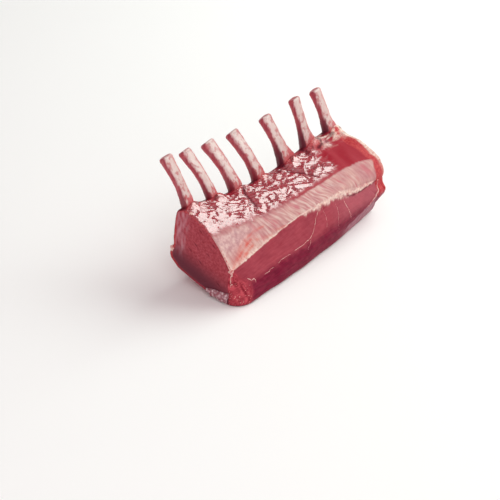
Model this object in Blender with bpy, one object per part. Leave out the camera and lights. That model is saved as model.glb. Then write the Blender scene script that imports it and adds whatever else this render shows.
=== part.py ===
"""A raw rack of lamb: a trimmed loin with seven ribs, scraped clean where they leave the meat.

The loin is lofted through named landmarks of its cross section, which run along the rack as
smooth rails. Each rib is a swept bone that climbs the back of the loin, leaves it at the crest
and curves away. The meat has a groove for every rib, with a small gap round the bone.

X runs along the rack from the near cut face to the far one, -Y is the trimmed front, +Y the
side of the rib cage, and +Z is up. The rack is shaped from its near bottom corner, and an empty
then carries all of it so that the origin lies at the bottom centre of its box.
"""

import math

import bmesh
import bpy
import numpy as np
from mathutils import Vector, noise

MM = 0.001

LENGTH = 200 * MM

# Each landmark: where it lies at places spread evenly from the near end to the far end, as Y and
# as Z in mm. They go round the section from the front edge of the underside, up the front and
# down the back.
LANDMARKS = {
    "toe": ((-5.5, -5.5, 3.0), (-0.8, -0.8, -0.8)),
    "bulge": ((-9.0, -10.2, -4.0), (7.0, 9.0, 11.0)),
    "flank": ((-5.5, -8.8, -10.5), (18.5, 24.0, 24.0)),
    "ridge": ((1.8, -0.9, -3.0, -4.9, -5.8), (28.5, 39.0, 45.6, 42.0, 34.5)),
    "slope": ((9.8, 3.4, -4.0), (39.8, 49.0, 45.5)),
    "shoulder": ((18.5, 10.5, 2.5), (49.5, 53.6, 53.0)),
    "cap": ((31.0, 26.0, 21.0), (58.8, 57.0, 60.0)),
    "crest": ((44.5, 39.0, 39.0), (62.0, 57.9, 56.6, 60.8, 62.0)),
    "comb": ((53.0, 46.5, 49.0), (60.0, 55.4, 53.5, 59.6, 59.5)),
    "back_upper": ((55.3, 48.8, 52.0), (50.0, 46.0, 48.0)),
    "back_middle": ((56.0, 50.6, 53.5), (32.0, 31.0, 31.0)),
    "back_lower": ((53.8, 52.5, 53.0), (15.5, 13.0, 13.0)),
    "heel": ((41.5, 45.5, 44.0), (7.6, -0.8, -0.8)),
    "sole": ((21.0, 19.0, 20.0), (-0.8, -0.8, -0.8)),
}
NAMES = list(LANDMARKS)

# How many faces lie between each landmark and the next, and how sharp a landmark's corner is.
SPAN_STEPS = (4, 5, 6, 6, 5, 6, 6, 4, 4, 4, 4, 4, 3, 3)
SHARPNESS = {"ridge": 0.9, "comb": 0.3}

# How far landmarks move at the near end, over ROUND_OVER of length: the lower front draws back
# (+Y) and the underside lifts (+Z).
DRAWN_BACK = {"toe": 8.5 * MM, "bulge": 11.0 * MM, "flank": 8.5 * MM}
LIFTED = {"heel": 1.6 * MM, "sole": 4.6 * MM}
ROUND_OVER = 14 * MM

NEAR_RIM = 0.7 * MM
FAR_RIM = 2.6 * MM
NEAR_DOME = 1.2 * MM
FAR_DOME = 2.0 * MM

# The rings of points along the meat lie closer at the ends: the near ones by distance from the
# near face, the far ones by distance from the far face as a share of its rim.
NEAR_STATIONS = (0.0, NEAR_RIM, 2.5 * MM, 6.0 * MM, 10.0 * MM)
FAR_STATIONS = (1.0, 0.45, 0.12, 0.0)
STATION_GAP = 4.2 * MM
CAP_RINGS = 2
SHARP_ANGLE = math.radians(50)

# Relief of the surface: the cap's wrinkles, slow unevenness of the flesh, the edge of the layer
# over the front muscle, a swelling of that muscle, and a tab of trim on the near edge. TURNS are
# the landmarks between which each of them lies.
WRINKLE = 1.5 * MM
WRINKLE_SIZE = 8.5 * MM
WRINKLE_TURNS = (4.3, 8.2)
UNEVEN = 0.6 * MM
UNEVEN_SIZE = 24 * MM
GIRTH_PER_TURN = 9 * MM
LAYER_STEP = 1.3 * MM
LAYER_FROM = 100 * MM
LAYER_FULL_AFTER = 50 * MM
LAYER_TURNS = (2.9, 4.2)
UNDERCUT_TURNS = (2.1, 2.9)
NOTCH_AT = 133 * MM
NOTCH_LENGTH = 13 * MM
NOTCH_RISE = 1.4 * MM
TAB_PROUD = 3.4 * MM
TAB_LENGTH = 4.5 * MM
TAB_TURNS = (10.0, 11.1)

# Deep folds across the cap, each from one (x in mm, turn in landmarks) to another, and the share
# of their length by which they fade out past both places.
FOLDS = (((61.0, 6.8), (53.5, 5.3)), ((110.0, 7.2), (127.0, 5.3)))
FOLD_OVERRUN = 0.15
FOLD_DEPTH = 1.6 * MM
FOLD_WIDTH = 3.4 * MM

# Each rib at the crest (x, y, z) and its tip as (y, z), all in mm. Then its girth, the flare of
# its tip, how high the meat climbs it, each against the plain one, and the web at its foot in mm.
RIBS = (
    ((6.8, 49.6, 63.0), (66.8, 100.0), 0.86, 2.0, 1.0, 2.5),
    ((32.9, 47.2, 60.5), (70.2, 94.3), 0.88, 1.9, 1.0, 2.0),
    ((59.4, 45.2, 58.5), (69.6, 92.3), 1.02, 1.7, 1.0, 2.5),
    ((88.2, 44.8, 57.8), (68.0, 91.2), 1.01, 1.6, 1.0, 3.0),
    ((123.3, 45.2, 58.7), (62.0, 94.6), 0.96, 1.7, 0.9, 10.5),
    ((154.3, 45.2, 60.5), (55.6, 102.2), 0.87, 1.6, 0.9, 11.5),
    ((187.0, 44.4, 61.5), (57.2, 99.2), 0.94, 1.3, 1.1, 9.0),
)
# All ribs: how far the tip lies nearer than the foot, the section's (width, depth) up to the foot
# and at the tip, how far it stands out of its groove on the back, its faces round and along, and
# the gap that is left round it.
RIB_SLANT = 6.0 * MM
BACK_SLANT = 2.4 * MM
FOOT_SECTION = (9.2 * MM, 8.2 * MM)
TIP_SECTION = (11.0 * MM, 6.4 * MM)
FLATTENS_OVER = 0.7
RIB_PROUD = 0.9 * MM
RIB_SIDES = 12
RIB_RINGS = 19
RIB_SQUARENESS = 2.6
RIB_GAP = 0.35 * MM

# A rib passes three landmarks of the back, each with its share of BACK_SLANT, then the foot, and
# then two places on the free part, each at (share of the height, share of the way back).
BACK_KNOTS = (("back_lower", 1.0), ("back_middle", 0.75), ("back_upper", 0.35))
FREE_KNOTS = ((0.3, 0.16), (0.62, 0.47))
ROOT_DROP = 1.5 * MM

# How much wider a rib grows over its last stretch and where it leaves the meat.
TIP_FLARE = 0.14
TIP_STRETCH = 0.22
TIP_POWER = 1.5
TIP_BEVEL = 0.9 * MM
FOOT_SWELL = 0.10
FOOT_AT = 0.56
FOOT_STRETCH = 0.09

# The web on the far side of each foot, in shares of the rib's length: where it is widest, how
# fast it fades upwards, over how much it ends below, and how much lower its groove ends.
WEB_AT = 0.51
WEB_FADE = 0.15
WEB_END = 0.07
WEB_CLEARANCE = 0.008

# The meat that climbs the foot of each rib: its height, its spread along and across the rack,
# how far its middle lies past the rib towards the far end, with the share of the web that adds
# to it, and how far towards the front.
COLLAR_HEIGHT = 4.8 * MM
COLLAR_RUN = 9.5 * MM
COLLAR_DEPTH = 6.5 * MM
COLLAR_SHIFT = 2.4 * MM
COLLAR_UNDER_WEB = 0.35
COLLAR_FORWARD = 3.0 * MM
COLLAR_ABOVE = 46 * MM

MEAT_RED = (0.33, 0.055, 0.075, 1.0)
MEAT_ROUGHNESS = 0.35
BONE_PINK = (0.66, 0.42, 0.38, 1.0)
BONE_ROUGHNESS = 0.45


def rail(values, t):
    """The polynomial through values that are spread evenly over t from 0 to 1."""
    places = np.linspace(0, 1, len(values))
    total = 0.0
    for here, value in zip(places, values):
        others = places[places != here]
        total += value * np.prod((t - others) / (here - others))
    return total


def draw_back(x):
    """1 at the near end, falling to 0 along a quarter circle that is ROUND_OVER long."""
    share = max(0.0, 1 - x / ROUND_OVER)
    return 1 - math.sqrt(1 - share * share)


def notch(x):
    """The share by which the ridge rises where the lower muscle swells under it."""
    return math.exp(-(((x - NOTCH_AT) / NOTCH_LENGTH) ** 2))


def landmark(name, x):
    """The (y, z) of one landmark at a distance x along the rack, in metres."""
    across, up = LANDMARKS[name]
    y = rail(across, x / LENGTH) * MM + DRAWN_BACK.get(name, 0.0) * draw_back(x)
    z = rail(up, x / LENGTH) * MM + LIFTED.get(name, 0.0) * draw_back(x)
    if name == "ridge":
        z += NOTCH_RISE * notch(x)
    return np.array((y, z))


def through(knots, turn, sharpness):
    """The closed smooth curve through knots, at a turn counted in knots.

    Each knot's slope is half the way from the knot before it to the one after, and sharpness
    takes that slope away, which leaves a corner there.
    """
    count = len(knots)
    first = int(math.floor(turn))
    share = turn - first
    before, start, end, after = (knots[(first + i) % count] for i in (-1, 0, 1, 2))
    leaving = (end - before) / 2 * (1 - sharpness[first % count])
    arriving = (after - start) / 2 * (1 - sharpness[(first + 1) % count])
    ease = share * share * (3 - 2 * share)
    return (
        start * (1 - ease)
        + end * ease
        + leaving * share * (1 - share) ** 2
        - arriving * share**2 * (1 - share)
    )


def open_through(knots, count):
    """count points along the smooth curve through knots, from the first to the last."""
    padded = [2 * knots[0] - knots[1], *knots, 2 * knots[-1] - knots[-2]]
    smooth = [0.0] * len(padded)
    return [through(padded, turn, smooth) for turn in np.linspace(1, len(knots), count)]


def turns_round():
    """Where the section's points lie, counted in landmarks from the toe."""
    return [span + step / steps for span, steps in enumerate(SPAN_STEPS) for step in range(steps)]


def hump(value, low, high):
    """A smooth rise and fall between low and high, 1 half way."""
    share = min(1.0, max(0.0, (value - low) / (high - low)))
    return math.sin(math.pi * share) ** 2


def folded(x, turn):
    """How deep the folds across the cap are at a place along it and round it."""
    depth = 0.0
    for (high_x, high_turn), (low_x, low_turn) in FOLDS:
        share = (turn - low_turn) / (high_turn - low_turn)
        away = x - (low_x + (high_x - low_x) * share) * MM
        fading = hump(share, -FOLD_OVERRUN, 1 + FOLD_OVERRUN)
        depth += FOLD_DEPTH * fading * math.exp(-((away / FOLD_WIDTH) ** 2))
    return depth


def relief(x, turn):
    """How far the surface stands out from the smooth loft at a place along it and round it."""
    spot = Vector((x, turn * GIRTH_PER_TURN, 0.0))
    wrinkled = WRINKLE * hump(turn, *WRINKLE_TURNS) * noise.noise(spot / WRINKLE_SIZE)
    flesh = UNEVEN * noise.noise(spot / UNEVEN_SIZE)
    grown = min(1.0, max(0.0, (x - LAYER_FROM) / LAYER_FULL_AFTER))
    lip = LAYER_STEP * grown * (hump(turn, *LAYER_TURNS) - hump(turn, *UNDERCUT_TURNS))
    tab = TAB_PROUD * hump(turn, *TAB_TURNS) * math.exp(-((x / TAB_LENGTH) ** 2))
    return wrinkled + flesh + lip + tab - folded(x, turn)


def collar(x, y, z):
    """How far the meat climbs the foot of the nearest ribs."""
    if z < COLLAR_ABOVE:
        return 0.0
    rise = 0.0
    for (foot_x, foot_y, _), _, _, _, climb, web in RIBS:
        middle = (foot_x + COLLAR_UNDER_WEB * web) * MM + COLLAR_SHIFT
        along = (x - middle) / COLLAR_RUN
        across = (y - foot_y * MM + COLLAR_FORWARD) / COLLAR_DEPTH
        rise += climb * math.exp(-(along**2) - across**2)
    return COLLAR_HEIGHT * rise


def inset(x):
    """How far the section is drawn in by the rounding of the nearer cut edge."""
    for distance, radius in ((x, NEAR_RIM), (LENGTH - x, FAR_RIM)):
        if distance < radius:
            return radius - math.sqrt(radius**2 - (radius - distance) ** 2)
    return 0.0


def section(x):
    """The ring of (x, y, z) points round the meat at a distance x from the near face."""
    knots = [landmark(name, x) for name in NAMES]
    sharpness = [SHARPNESS.get(name, 0.0) for name in NAMES]
    turns = turns_round()
    ring = np.array([through(knots, turn, sharpness) for turn in turns])
    along = np.roll(ring, -1, axis=0) - np.roll(ring, 1, axis=0)
    outward = np.stack((-along[:, 1], along[:, 0]), axis=1)
    outward /= np.linalg.norm(outward, axis=1)[:, None]
    centre = ring.mean(axis=0)
    if ((ring - centre) * outward).sum() < 0:
        outward = -outward
    stand = np.array([relief(x, turn) for turn in turns]) - inset(x)
    ring = ring + outward * stand[:, None]
    ring[:, 1] += [collar(x, y, z) for y, z in ring]
    ring[:, 1] = np.maximum(ring[:, 1], 0.0)
    return np.column_stack((np.full(len(ring), x), ring))


def stations():
    """The distances along the rack at which the meat has a ring of points."""
    far = [LENGTH - share * FAR_RIM for share in FAR_STATIONS]
    count = round((far[0] - NEAR_STATIONS[-1]) / STATION_GAP)
    return [*NEAR_STATIONS, *np.linspace(NEAR_STATIONS[-1], far[0], count + 1)[1:-1], *far]


def add_cap(mesh, edge, dome):
    """Closes one end with rings that shrink to a point, swelling by dome along X."""
    corners = np.array([vertex.co for vertex in edge])
    centre = corners.mean(axis=0)
    ring = edge
    for step in range(1, CAP_RINGS + 1):
        share = step / (CAP_RINGS + 1)
        points = corners + (centre - corners) * share
        points[:, 0] += dome * math.sin(share * math.pi / 2)
        inner = [mesh.verts.new(point) for point in points]
        bridge(mesh, ring, inner)
        ring = inner
    pole = mesh.verts.new(centre + (dome, 0.0, 0.0))
    for i, vertex in enumerate(ring):
        mesh.faces.new((vertex, ring[(i + 1) % len(ring)], pole))


def bridge(mesh, ring, other):
    """Joins two closed rings of equal count with quads."""
    count = len(ring)
    for i in range(count):
        j = (i + 1) % count
        mesh.faces.new((ring[i], ring[j], other[j], other[i]))


def finished(mesh, name, material):
    """Turns a bmesh into an object with outward faces and smooth shading."""
    bmesh.ops.recalc_face_normals(mesh, faces=mesh.faces)
    data = bpy.data.meshes.new(name)
    mesh.to_mesh(data)
    mesh.free()
    data.shade_smooth()
    data.set_sharp_from_angle(angle=SHARP_ANGLE)
    if material:
        data.materials.append(material)
    obj = bpy.data.objects.new(name, data)
    bpy.context.scene.collection.objects.link(obj)
    return obj


def make_meat(material):
    """The loin: rings of points along the rack, skinned and closed at both cut faces."""
    mesh = bmesh.new()
    rings = []
    for x in stations():
        rings.append([mesh.verts.new(point) for point in section(x)])
    for ring, following in zip(rings, rings[1:]):
        bridge(mesh, ring, following)
    add_cap(mesh, rings[0], -NEAR_DOME)
    add_cap(mesh, rings[-1], FAR_DOME)
    return finished(mesh, "meat", material)


def rib_path(rib):
    """The centre line of one rib, from its sawn root low on the back to its tip."""
    (foot_x, foot_y, foot_z), (tip_y, tip_z), girth = rib[:3]
    buried = FOOT_SECTION[1] * girth / 2 - RIB_PROUD
    knots = []
    for name, lean in BACK_KNOTS:
        x = foot_x * MM + BACK_SLANT * lean
        y, z = landmark(name, x)
        if name == "back_lower":
            z -= ROOT_DROP
        knots.append(np.array((x, y - buried, z)))
    foot = np.array((foot_x, foot_y, foot_z)) * MM
    tip = np.array((foot_x * MM - RIB_SLANT, tip_y * MM, tip_z * MM))
    knots.append(foot)
    for share, lean in FREE_KNOTS:
        point = foot + (tip - foot) * share
        point[1] = foot[1] + (tip[1] - foot[1]) * lean
        knots.append(point)
    knots.append(tip)
    return open_through(knots, RIB_RINGS)


def rib_size(share, girth, flare):
    """The width and depth of a rib at a share of its length."""
    tip = TIP_FLARE * flare * max(0.0, (share - 1) / TIP_STRETCH + 1) ** TIP_POWER
    foot = FOOT_SWELL * math.exp(-(((share - FOOT_AT) / FOOT_STRETCH) ** 2))
    flat = min(1.0, max(0.0, (share - FOOT_AT) / (1 - FOOT_AT) / FLATTENS_OVER))
    size = np.array(FOOT_SECTION) * (1 - flat) + np.array(TIP_SECTION) * flat
    return size * girth * (1 + tip + foot)


def web_share(share):
    """How much of its full reach a rib's web has at a share of the rib's length."""
    if share >= WEB_AT:
        return math.exp(-(share - WEB_AT) / WEB_FADE)
    return max(0.0, 1 - (WEB_AT - share) / WEB_END)


def rib_ring(mesh, centre, tangent, width, depth, web):
    """One rounded, slightly squared ring across a rib, with its far side drawn out by web."""
    side = np.array((1.0, 0.0, 0.0))
    side = side - tangent * (side @ tangent)
    side /= np.linalg.norm(side)
    back = np.cross(tangent, side)
    ring = []
    for i in range(RIB_SIDES):
        angle = 2 * math.pi * i / RIB_SIDES
        c, s = math.cos(angle), math.sin(angle)
        half = width / 2 + web * (c > 0)
        a = math.copysign(abs(c) ** (2 / RIB_SQUARENESS), c) * half
        b = math.copysign(abs(s) ** (2 / RIB_SQUARENESS), s) * depth / 2
        ring.append(mesh.verts.new(centre + side * a + back * b))
    return ring


def make_rib(name, rib, material, grow=0.0):
    """One rib bone. grow makes it larger all round, for the groove that it lies in."""
    path = np.array(rib_path(rib))
    _, _, girth, flare, _, web = rib
    tangents = np.gradient(path, axis=0)
    tangents /= np.linalg.norm(tangents, axis=1)[:, None]
    path[0] -= tangents[0] * grow
    path[-1] += tangents[-1] * grow
    mesh = bmesh.new()
    rings = []
    for i, (centre, tangent) in enumerate(zip(path, tangents)):
        share = i / (len(path) - 1)
        width, depth = rib_size(share, girth, flare) + 2 * grow
        lower = share + WEB_CLEARANCE * (grow > 0)
        reach = web * MM * max(web_share(share), web_share(lower))
        if i == len(path) - 1:
            below = centre - tangent * TIP_BEVEL
            rings.append(rib_ring(mesh, below, tangent, width, depth, reach))
            width -= TIP_BEVEL
            depth -= TIP_BEVEL
        rings.append(rib_ring(mesh, centre, tangent, width, depth, reach))
    for ring, following in zip(rings, rings[1:]):
        bridge(mesh, ring, following)
    mesh.faces.new(rings[0])
    mesh.faces.new(rings[-1])
    return finished(mesh, name, material)


def cut_grooves(meat):
    """Cuts the meat clear of every rib, with RIB_GAP left round the bone."""
    cutters = bpy.data.collections.new("groove_cutters")
    bpy.context.scene.collection.children.link(cutters)
    for number, rib in enumerate(RIBS, 1):
        cutter = make_rib(f"groove_cutter_{number}", rib, None, grow=RIB_GAP)
        bpy.context.scene.collection.objects.unlink(cutter)
        cutters.objects.link(cutter)
        cutter.hide_render = True
        cutter.display_type = "WIRE"
    groove = meat.modifiers.new("rib_grooves", "BOOLEAN")
    groove.operation = "DIFFERENCE"
    groove.operand_type = "COLLECTION"
    groove.collection = cutters
    groove.solver = "EXACT"
    return list(cutters.objects)


def plain_material(name, colour, roughness):
    """A wet, unmetallic surface of one colour."""
    material = bpy.data.materials.new(name)
    material.use_nodes = True
    shader = material.node_tree.nodes["Principled BSDF"]
    shader.inputs["Base Color"].default_value = colour
    shader.inputs["Roughness"].default_value = roughness
    shader.inputs["Metallic"].default_value = 0.0
    return material


def stand_on_origin(objects, helpers):
    """Carries everything by an empty, so that the box's bottom centre is the origin."""
    corners = [np.array(vertex.co) for obj in objects for vertex in obj.data.vertices]
    low, high = np.min(corners, axis=0), np.max(corners, axis=0)
    carrier = bpy.data.objects.new("rack_carrier", None)
    bpy.context.scene.collection.objects.link(carrier)
    carrier.location = (-(low[0] + high[0]) / 2, -(low[1] + high[1]) / 2, -low[2])
    for obj in [*objects, *helpers]:
        obj.parent = carrier


def main():
    for obj in list(bpy.data.objects):
        bpy.data.objects.remove(obj)
    raw_meat = plain_material("raw_meat", MEAT_RED, MEAT_ROUGHNESS)
    scraped_bone = plain_material("scraped_bone", BONE_PINK, BONE_ROUGHNESS)
    meat = make_meat(raw_meat)
    ribs = [make_rib(f"rib_{n}", rib, scraped_bone) for n, rib in enumerate(RIBS, 1)]
    cutters = cut_grooves(meat)
    stand_on_origin([meat, *ribs], cutters)


main()
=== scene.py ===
# %% [markdown]
# # A raw rack of lamb
#
# A rack of lamb is one side of the rib cage with the loin muscle that lies along it. The butcher
# trims the outside down to the red meat and the pearly silverskin, and scrapes the rib bones
# clean where they stand out of it. It is wet, so its look is made of three things: deep pink
# reds, pale translucent membranes, and hard white reflections broken up by small wrinkles.
#
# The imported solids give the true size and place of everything. Each is replaced here by a finer
# surface of the same form, because wrinkles, threads and scraped bone need more points.

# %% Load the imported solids
import math

import bmesh
import bpy
import numpy as np
from mathutils import Matrix, Vector, noise


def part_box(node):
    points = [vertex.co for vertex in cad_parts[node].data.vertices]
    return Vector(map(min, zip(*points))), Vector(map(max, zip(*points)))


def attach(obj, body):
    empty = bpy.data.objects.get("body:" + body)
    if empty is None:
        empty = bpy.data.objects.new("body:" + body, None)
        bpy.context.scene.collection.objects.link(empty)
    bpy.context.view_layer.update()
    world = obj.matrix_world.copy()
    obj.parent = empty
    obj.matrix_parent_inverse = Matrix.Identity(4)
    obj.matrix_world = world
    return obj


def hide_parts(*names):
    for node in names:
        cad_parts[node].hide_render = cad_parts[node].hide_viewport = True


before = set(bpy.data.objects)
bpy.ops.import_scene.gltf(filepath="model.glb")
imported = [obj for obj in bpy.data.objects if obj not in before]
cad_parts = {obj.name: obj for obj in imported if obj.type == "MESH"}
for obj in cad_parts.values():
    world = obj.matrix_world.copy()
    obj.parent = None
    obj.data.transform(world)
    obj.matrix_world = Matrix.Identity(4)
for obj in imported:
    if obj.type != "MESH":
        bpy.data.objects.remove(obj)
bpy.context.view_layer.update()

MM = 0.001
print("solids:", ", ".join(sorted(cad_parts)))

# %% [markdown]
# ## The loin as a loft
#
# The loin is one long muscle whose cross section changes slowly. It could be sculpted, or cut
# from a box with modifiers, but a loft says what it is: a few named landmarks of the section,
# such as the ridge or the crest, run along the rack as smooth rails, and every section is a
# closed curve through them. The same landmarks give the solid, so both agree.

# %% The landmarks of the section
LENGTH = 200 * MM
# Each landmark: its y and its z in mm, at places that are spread evenly along the rack.
LANDMARKS = {
    "toe": ((-5.5, -5.5, 3.0), (-0.8, -0.8, -0.8)),
    "bulge": ((-9.0, -10.2, -4.0), (7.0, 9.0, 11.0)),
    "flank": ((-5.5, -8.8, -10.5), (18.5, 24.0, 24.0)),
    "ridge": ((1.8, -0.9, -3.0, -4.9, -5.8), (28.5, 39.0, 45.6, 42.0, 34.5)),
    "slope": ((9.8, 3.4, -4.0), (39.8, 49.0, 45.5)),
    "shoulder": ((18.5, 10.5, 2.5), (49.5, 53.6, 53.0)),
    "cap": ((31.0, 26.0, 21.0), (58.8, 57.0, 60.0)),
    "crest": ((44.5, 39.0, 39.0), (62.0, 57.9, 56.6, 60.8, 62.0)),
    "comb": ((53.0, 46.5, 49.0), (60.0, 55.4, 53.5, 59.6, 59.5)),
    "back_upper": ((55.3, 48.8, 52.0), (50.0, 46.0, 48.0)),
    "back_middle": ((56.0, 50.6, 53.5), (32.0, 31.0, 31.0)),
    "back_lower": ((53.8, 52.5, 53.0), (15.5, 13.0, 13.0)),
    "heel": ((41.5, 45.5, 44.0), (7.6, -0.8, -0.8)),
    "sole": ((21.0, 19.0, 20.0), (-0.8, -0.8, -0.8)),
}
NAMES = list(LANDMARKS)
SHARPNESS = np.array([{"ridge": 0.9, "comb": 0.3}.get(name, 0.0) for name in NAMES])
DRAWN_BACK = {"toe": 8.5 * MM, "bulge": 11.0 * MM, "flank": 8.5 * MM}
LIFTED = {"heel": 1.6 * MM, "sole": 4.6 * MM}
ROUND_OVER = 14 * MM
NOTCH_AT, NOTCH_LENGTH, NOTCH_RISE = 133 * MM, 13 * MM, 1.4 * MM


def rail(values, t):
    """The polynomial through values that are spread evenly over t from 0 to 1."""
    places = np.linspace(0, 1, len(values))
    total = 0.0
    for here, value in zip(places, values):
        term = value
        for other in places[places != here]:
            term = term * (t - other) / (here - other)
        total = total + term
    return total


def landmarks_at(x):
    """The (y, z) of every landmark at each distance x along the rack."""
    x = np.atleast_1d(x)
    spread = np.maximum(0.0, 1 - x / ROUND_OVER)
    drawn = 1 - np.sqrt(1 - spread**2)
    knots = np.zeros((len(x), len(NAMES), 2))
    for i, name in enumerate(NAMES):
        across, up = LANDMARKS[name]
        knots[:, i, 0] = rail(across, x / LENGTH) * MM + DRAWN_BACK.get(name, 0.0) * drawn
        knots[:, i, 1] = rail(up, x / LENGTH) * MM + LIFTED.get(name, 0.0) * drawn
        if name == "ridge":
            knots[:, i, 1] += NOTCH_RISE * np.exp(-(((x - NOTCH_AT) / NOTCH_LENGTH) ** 2))
    return knots


def loft(x, turns):
    """The smooth section at each x, as (y, z) at each turn, counted in landmarks."""
    knots = landmarks_at(x)
    first = np.floor(turns).astype(int)
    share = (turns - first)[None, :, None]
    before, start, end, after = (knots[:, (first + i) % len(NAMES)] for i in (-1, 0, 1, 2))
    soft = (1 - SHARPNESS)[:, None]
    leaving = (end - before) / 2 * soft[first % len(NAMES)]
    arriving = (after - start) / 2 * soft[(first + 1) % len(NAMES)]
    ease = share * share * (3 - 2 * share)
    return (
        start * (1 - ease)
        + end * ease
        + leaving * share * (1 - share) ** 2
        - arriving * share**2 * (1 - share)
    )


print("section at mid length, crest at mm:", (landmarks_at(LENGTH / 2)[0, 7] / MM).round(1))

# %% [markdown]
# ## The relief that the solid has too
#
# On top of the smooth loft the solid already has its main relief: slow unevenness of soft
# flesh, two deep folds across the cap, the lip of the silverskin over the front muscle, a tab of
# trim at the back of the near edge, and collars of meat that climb the foot of each rib. The
# same formulas are used here, so the fine surface lies on the solid.

# %% Relief shared with the solid
WRINKLE, WRINKLE_SIZE = 1.5 * MM, 8.5 * MM
UNEVEN, UNEVEN_SIZE = 0.6 * MM, 24 * MM
GIRTH_PER_TURN = 9 * MM
LAYER_STEP, LAYER_FROM, LAYER_FULL_AFTER = 1.3 * MM, 100 * MM, 50 * MM
TAB_PROUD, TAB_LENGTH = 3.4 * MM, 4.5 * MM
FOLDS = (((61.0, 6.8), (53.5, 5.3)), ((110.0, 7.2), (127.0, 5.3)))
FOLD_DEPTH, FOLD_WIDTH = 1.6 * MM, 3.4 * MM
NEAR_RIM, FAR_RIM = 0.7 * MM, 2.6 * MM
NEAR_DOME, FAR_DOME = 1.2 * MM, 2.0 * MM


def field(x, y, z=0.0):
    """Smooth noise from -1 to 1 at every place. The coordinates are counted in features."""
    x, y, z = np.broadcast_arrays(x, y, z)
    values = [noise.noise(place) for place in zip(x.ravel(), y.ravel(), z.ravel())]
    return np.array(values).reshape(x.shape)


def hump(value, low, high):
    """A smooth rise and fall between low and high, 1 half way."""
    share = np.clip((value - low) / (high - low), 0, 1)
    return np.sin(np.pi * share) ** 2


def ramp(value, low, high):
    """0 below low and 1 above high, with a smooth rise between; low may be the larger one."""
    share = np.clip((value - low) / (high - low), 0, 1)
    return share * share * (3 - 2 * share)


def main_relief(x, turn):
    """How far the solid stands out from the smooth loft."""
    girth = turn * GIRTH_PER_TURN
    wrinkled = WRINKLE * hump(turn, 4.3, 8.2) * field(x / WRINKLE_SIZE, girth / WRINKLE_SIZE)
    flesh = UNEVEN * field(x / UNEVEN_SIZE, girth / UNEVEN_SIZE)
    grown = np.clip((x - LAYER_FROM) / LAYER_FULL_AFTER, 0, 1)
    lip = LAYER_STEP * grown * (hump(turn, 2.9, 4.2) - hump(turn, 2.1, 2.9))
    tab = TAB_PROUD * hump(turn, 10.0, 11.1) * np.exp(-((x / TAB_LENGTH) ** 2))
    folds = 0.0
    for (high_x, high_turn), (low_x, low_turn) in FOLDS:
        share = (turn - low_turn) / (high_turn - low_turn)
        away = x - (low_x + (high_x - low_x) * share) * MM
        folds = folds + hump(share, -0.15, 1.15) * np.exp(-((away / FOLD_WIDTH) ** 2))
    return wrinkled + flesh + lip + tab - FOLD_DEPTH * folds


def inset(x):
    """How far a section is drawn in by the rounding of the nearer cut edge."""
    near = np.clip(1 - x / NEAR_RIM, 0, 1)
    far = np.clip(1 - (LENGTH - x) / FAR_RIM, 0, 1)
    return NEAR_RIM * (1 - np.sqrt(1 - near**2)) + FAR_RIM * (1 - np.sqrt(1 - far**2))


print("the folds are", FOLD_DEPTH / MM, "mm deep")

# %% [markdown]
# ## The ribs' places
#
# A lamb has its ribs about 27 to 33 mm apart. Each one climbs the back of the loin, leaves the
# meat at the crest and curves away. Foot and tip of each bone are the solid's own numbers.

# %% The ribs' numbers
# Foot (x, y, z) and tip (y, z) in mm, girth, flare of the tip, climb of the meat, web in mm.
RIBS = (
    ((6.8, 49.6, 63.0), (66.8, 100.0), 0.86, 2.0, 1.0, 2.5),
    ((32.9, 47.2, 60.5), (70.2, 94.3), 0.88, 1.9, 1.0, 2.0),
    ((59.4, 45.2, 58.5), (69.6, 92.3), 1.02, 1.7, 1.0, 2.5),
    ((88.2, 44.8, 57.8), (68.0, 91.2), 1.01, 1.6, 1.0, 3.0),
    ((123.3, 45.2, 58.7), (62.0, 94.6), 0.96, 1.7, 0.9, 10.5),
    ((154.3, 45.2, 60.5), (55.6, 102.2), 0.87, 1.6, 0.9, 11.5),
    ((187.0, 44.4, 61.5), (57.2, 99.2), 0.94, 1.3, 1.1, 9.0),
)
COLLAR_HEIGHT, COLLAR_RUN, COLLAR_DEPTH = 4.8 * MM, 9.5 * MM, 6.5 * MM
COLLAR_SHIFT, COLLAR_UNDER_WEB, COLLAR_FORWARD = 2.4 * MM, 0.35, 3.0 * MM
COLLAR_ABOVE = 46 * MM


def collar(x, y, z):
    """How far the meat climbs the foot of the nearest ribs."""
    rise = 0.0
    for (foot_x, foot_y, _), _, _, _, climb, web in RIBS:
        middle = (foot_x + COLLAR_UNDER_WEB * web) * MM + COLLAR_SHIFT
        along = (x - middle) / COLLAR_RUN
        across = (y - foot_y * MM + COLLAR_FORWARD) / COLLAR_DEPTH
        rise = rise + climb * np.exp(-(along**2) - across**2)
    return COLLAR_HEIGHT * rise * (z >= COLLAR_ABOVE)


def surface(x, turns):
    """Every (x, y, z) of the relieved loft, as one row of points for each x."""
    ring = loft(x, turns)
    along = np.roll(ring, -1, axis=1) - np.roll(ring, 1, axis=1)
    outward = np.stack((-along[..., 1], along[..., 0]), axis=-1)
    outward /= np.linalg.norm(outward, axis=-1)[..., None]
    centre = ring.mean(axis=1, keepdims=True)
    facing = np.sign(((ring - centre) * outward).sum(axis=(1, 2)))
    stand = main_relief(x[:, None], turns[None, :]) - inset(x)[:, None]
    ring = ring + outward * (stand * facing[:, None])[..., None]
    ring[..., 1] += collar(x[:, None], ring[..., 0], ring[..., 1])
    ring[..., 1] = np.maximum(ring[..., 1], 0.0)
    return np.dstack((np.broadcast_to(x[:, None], ring.shape[:2]), ring))


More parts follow.
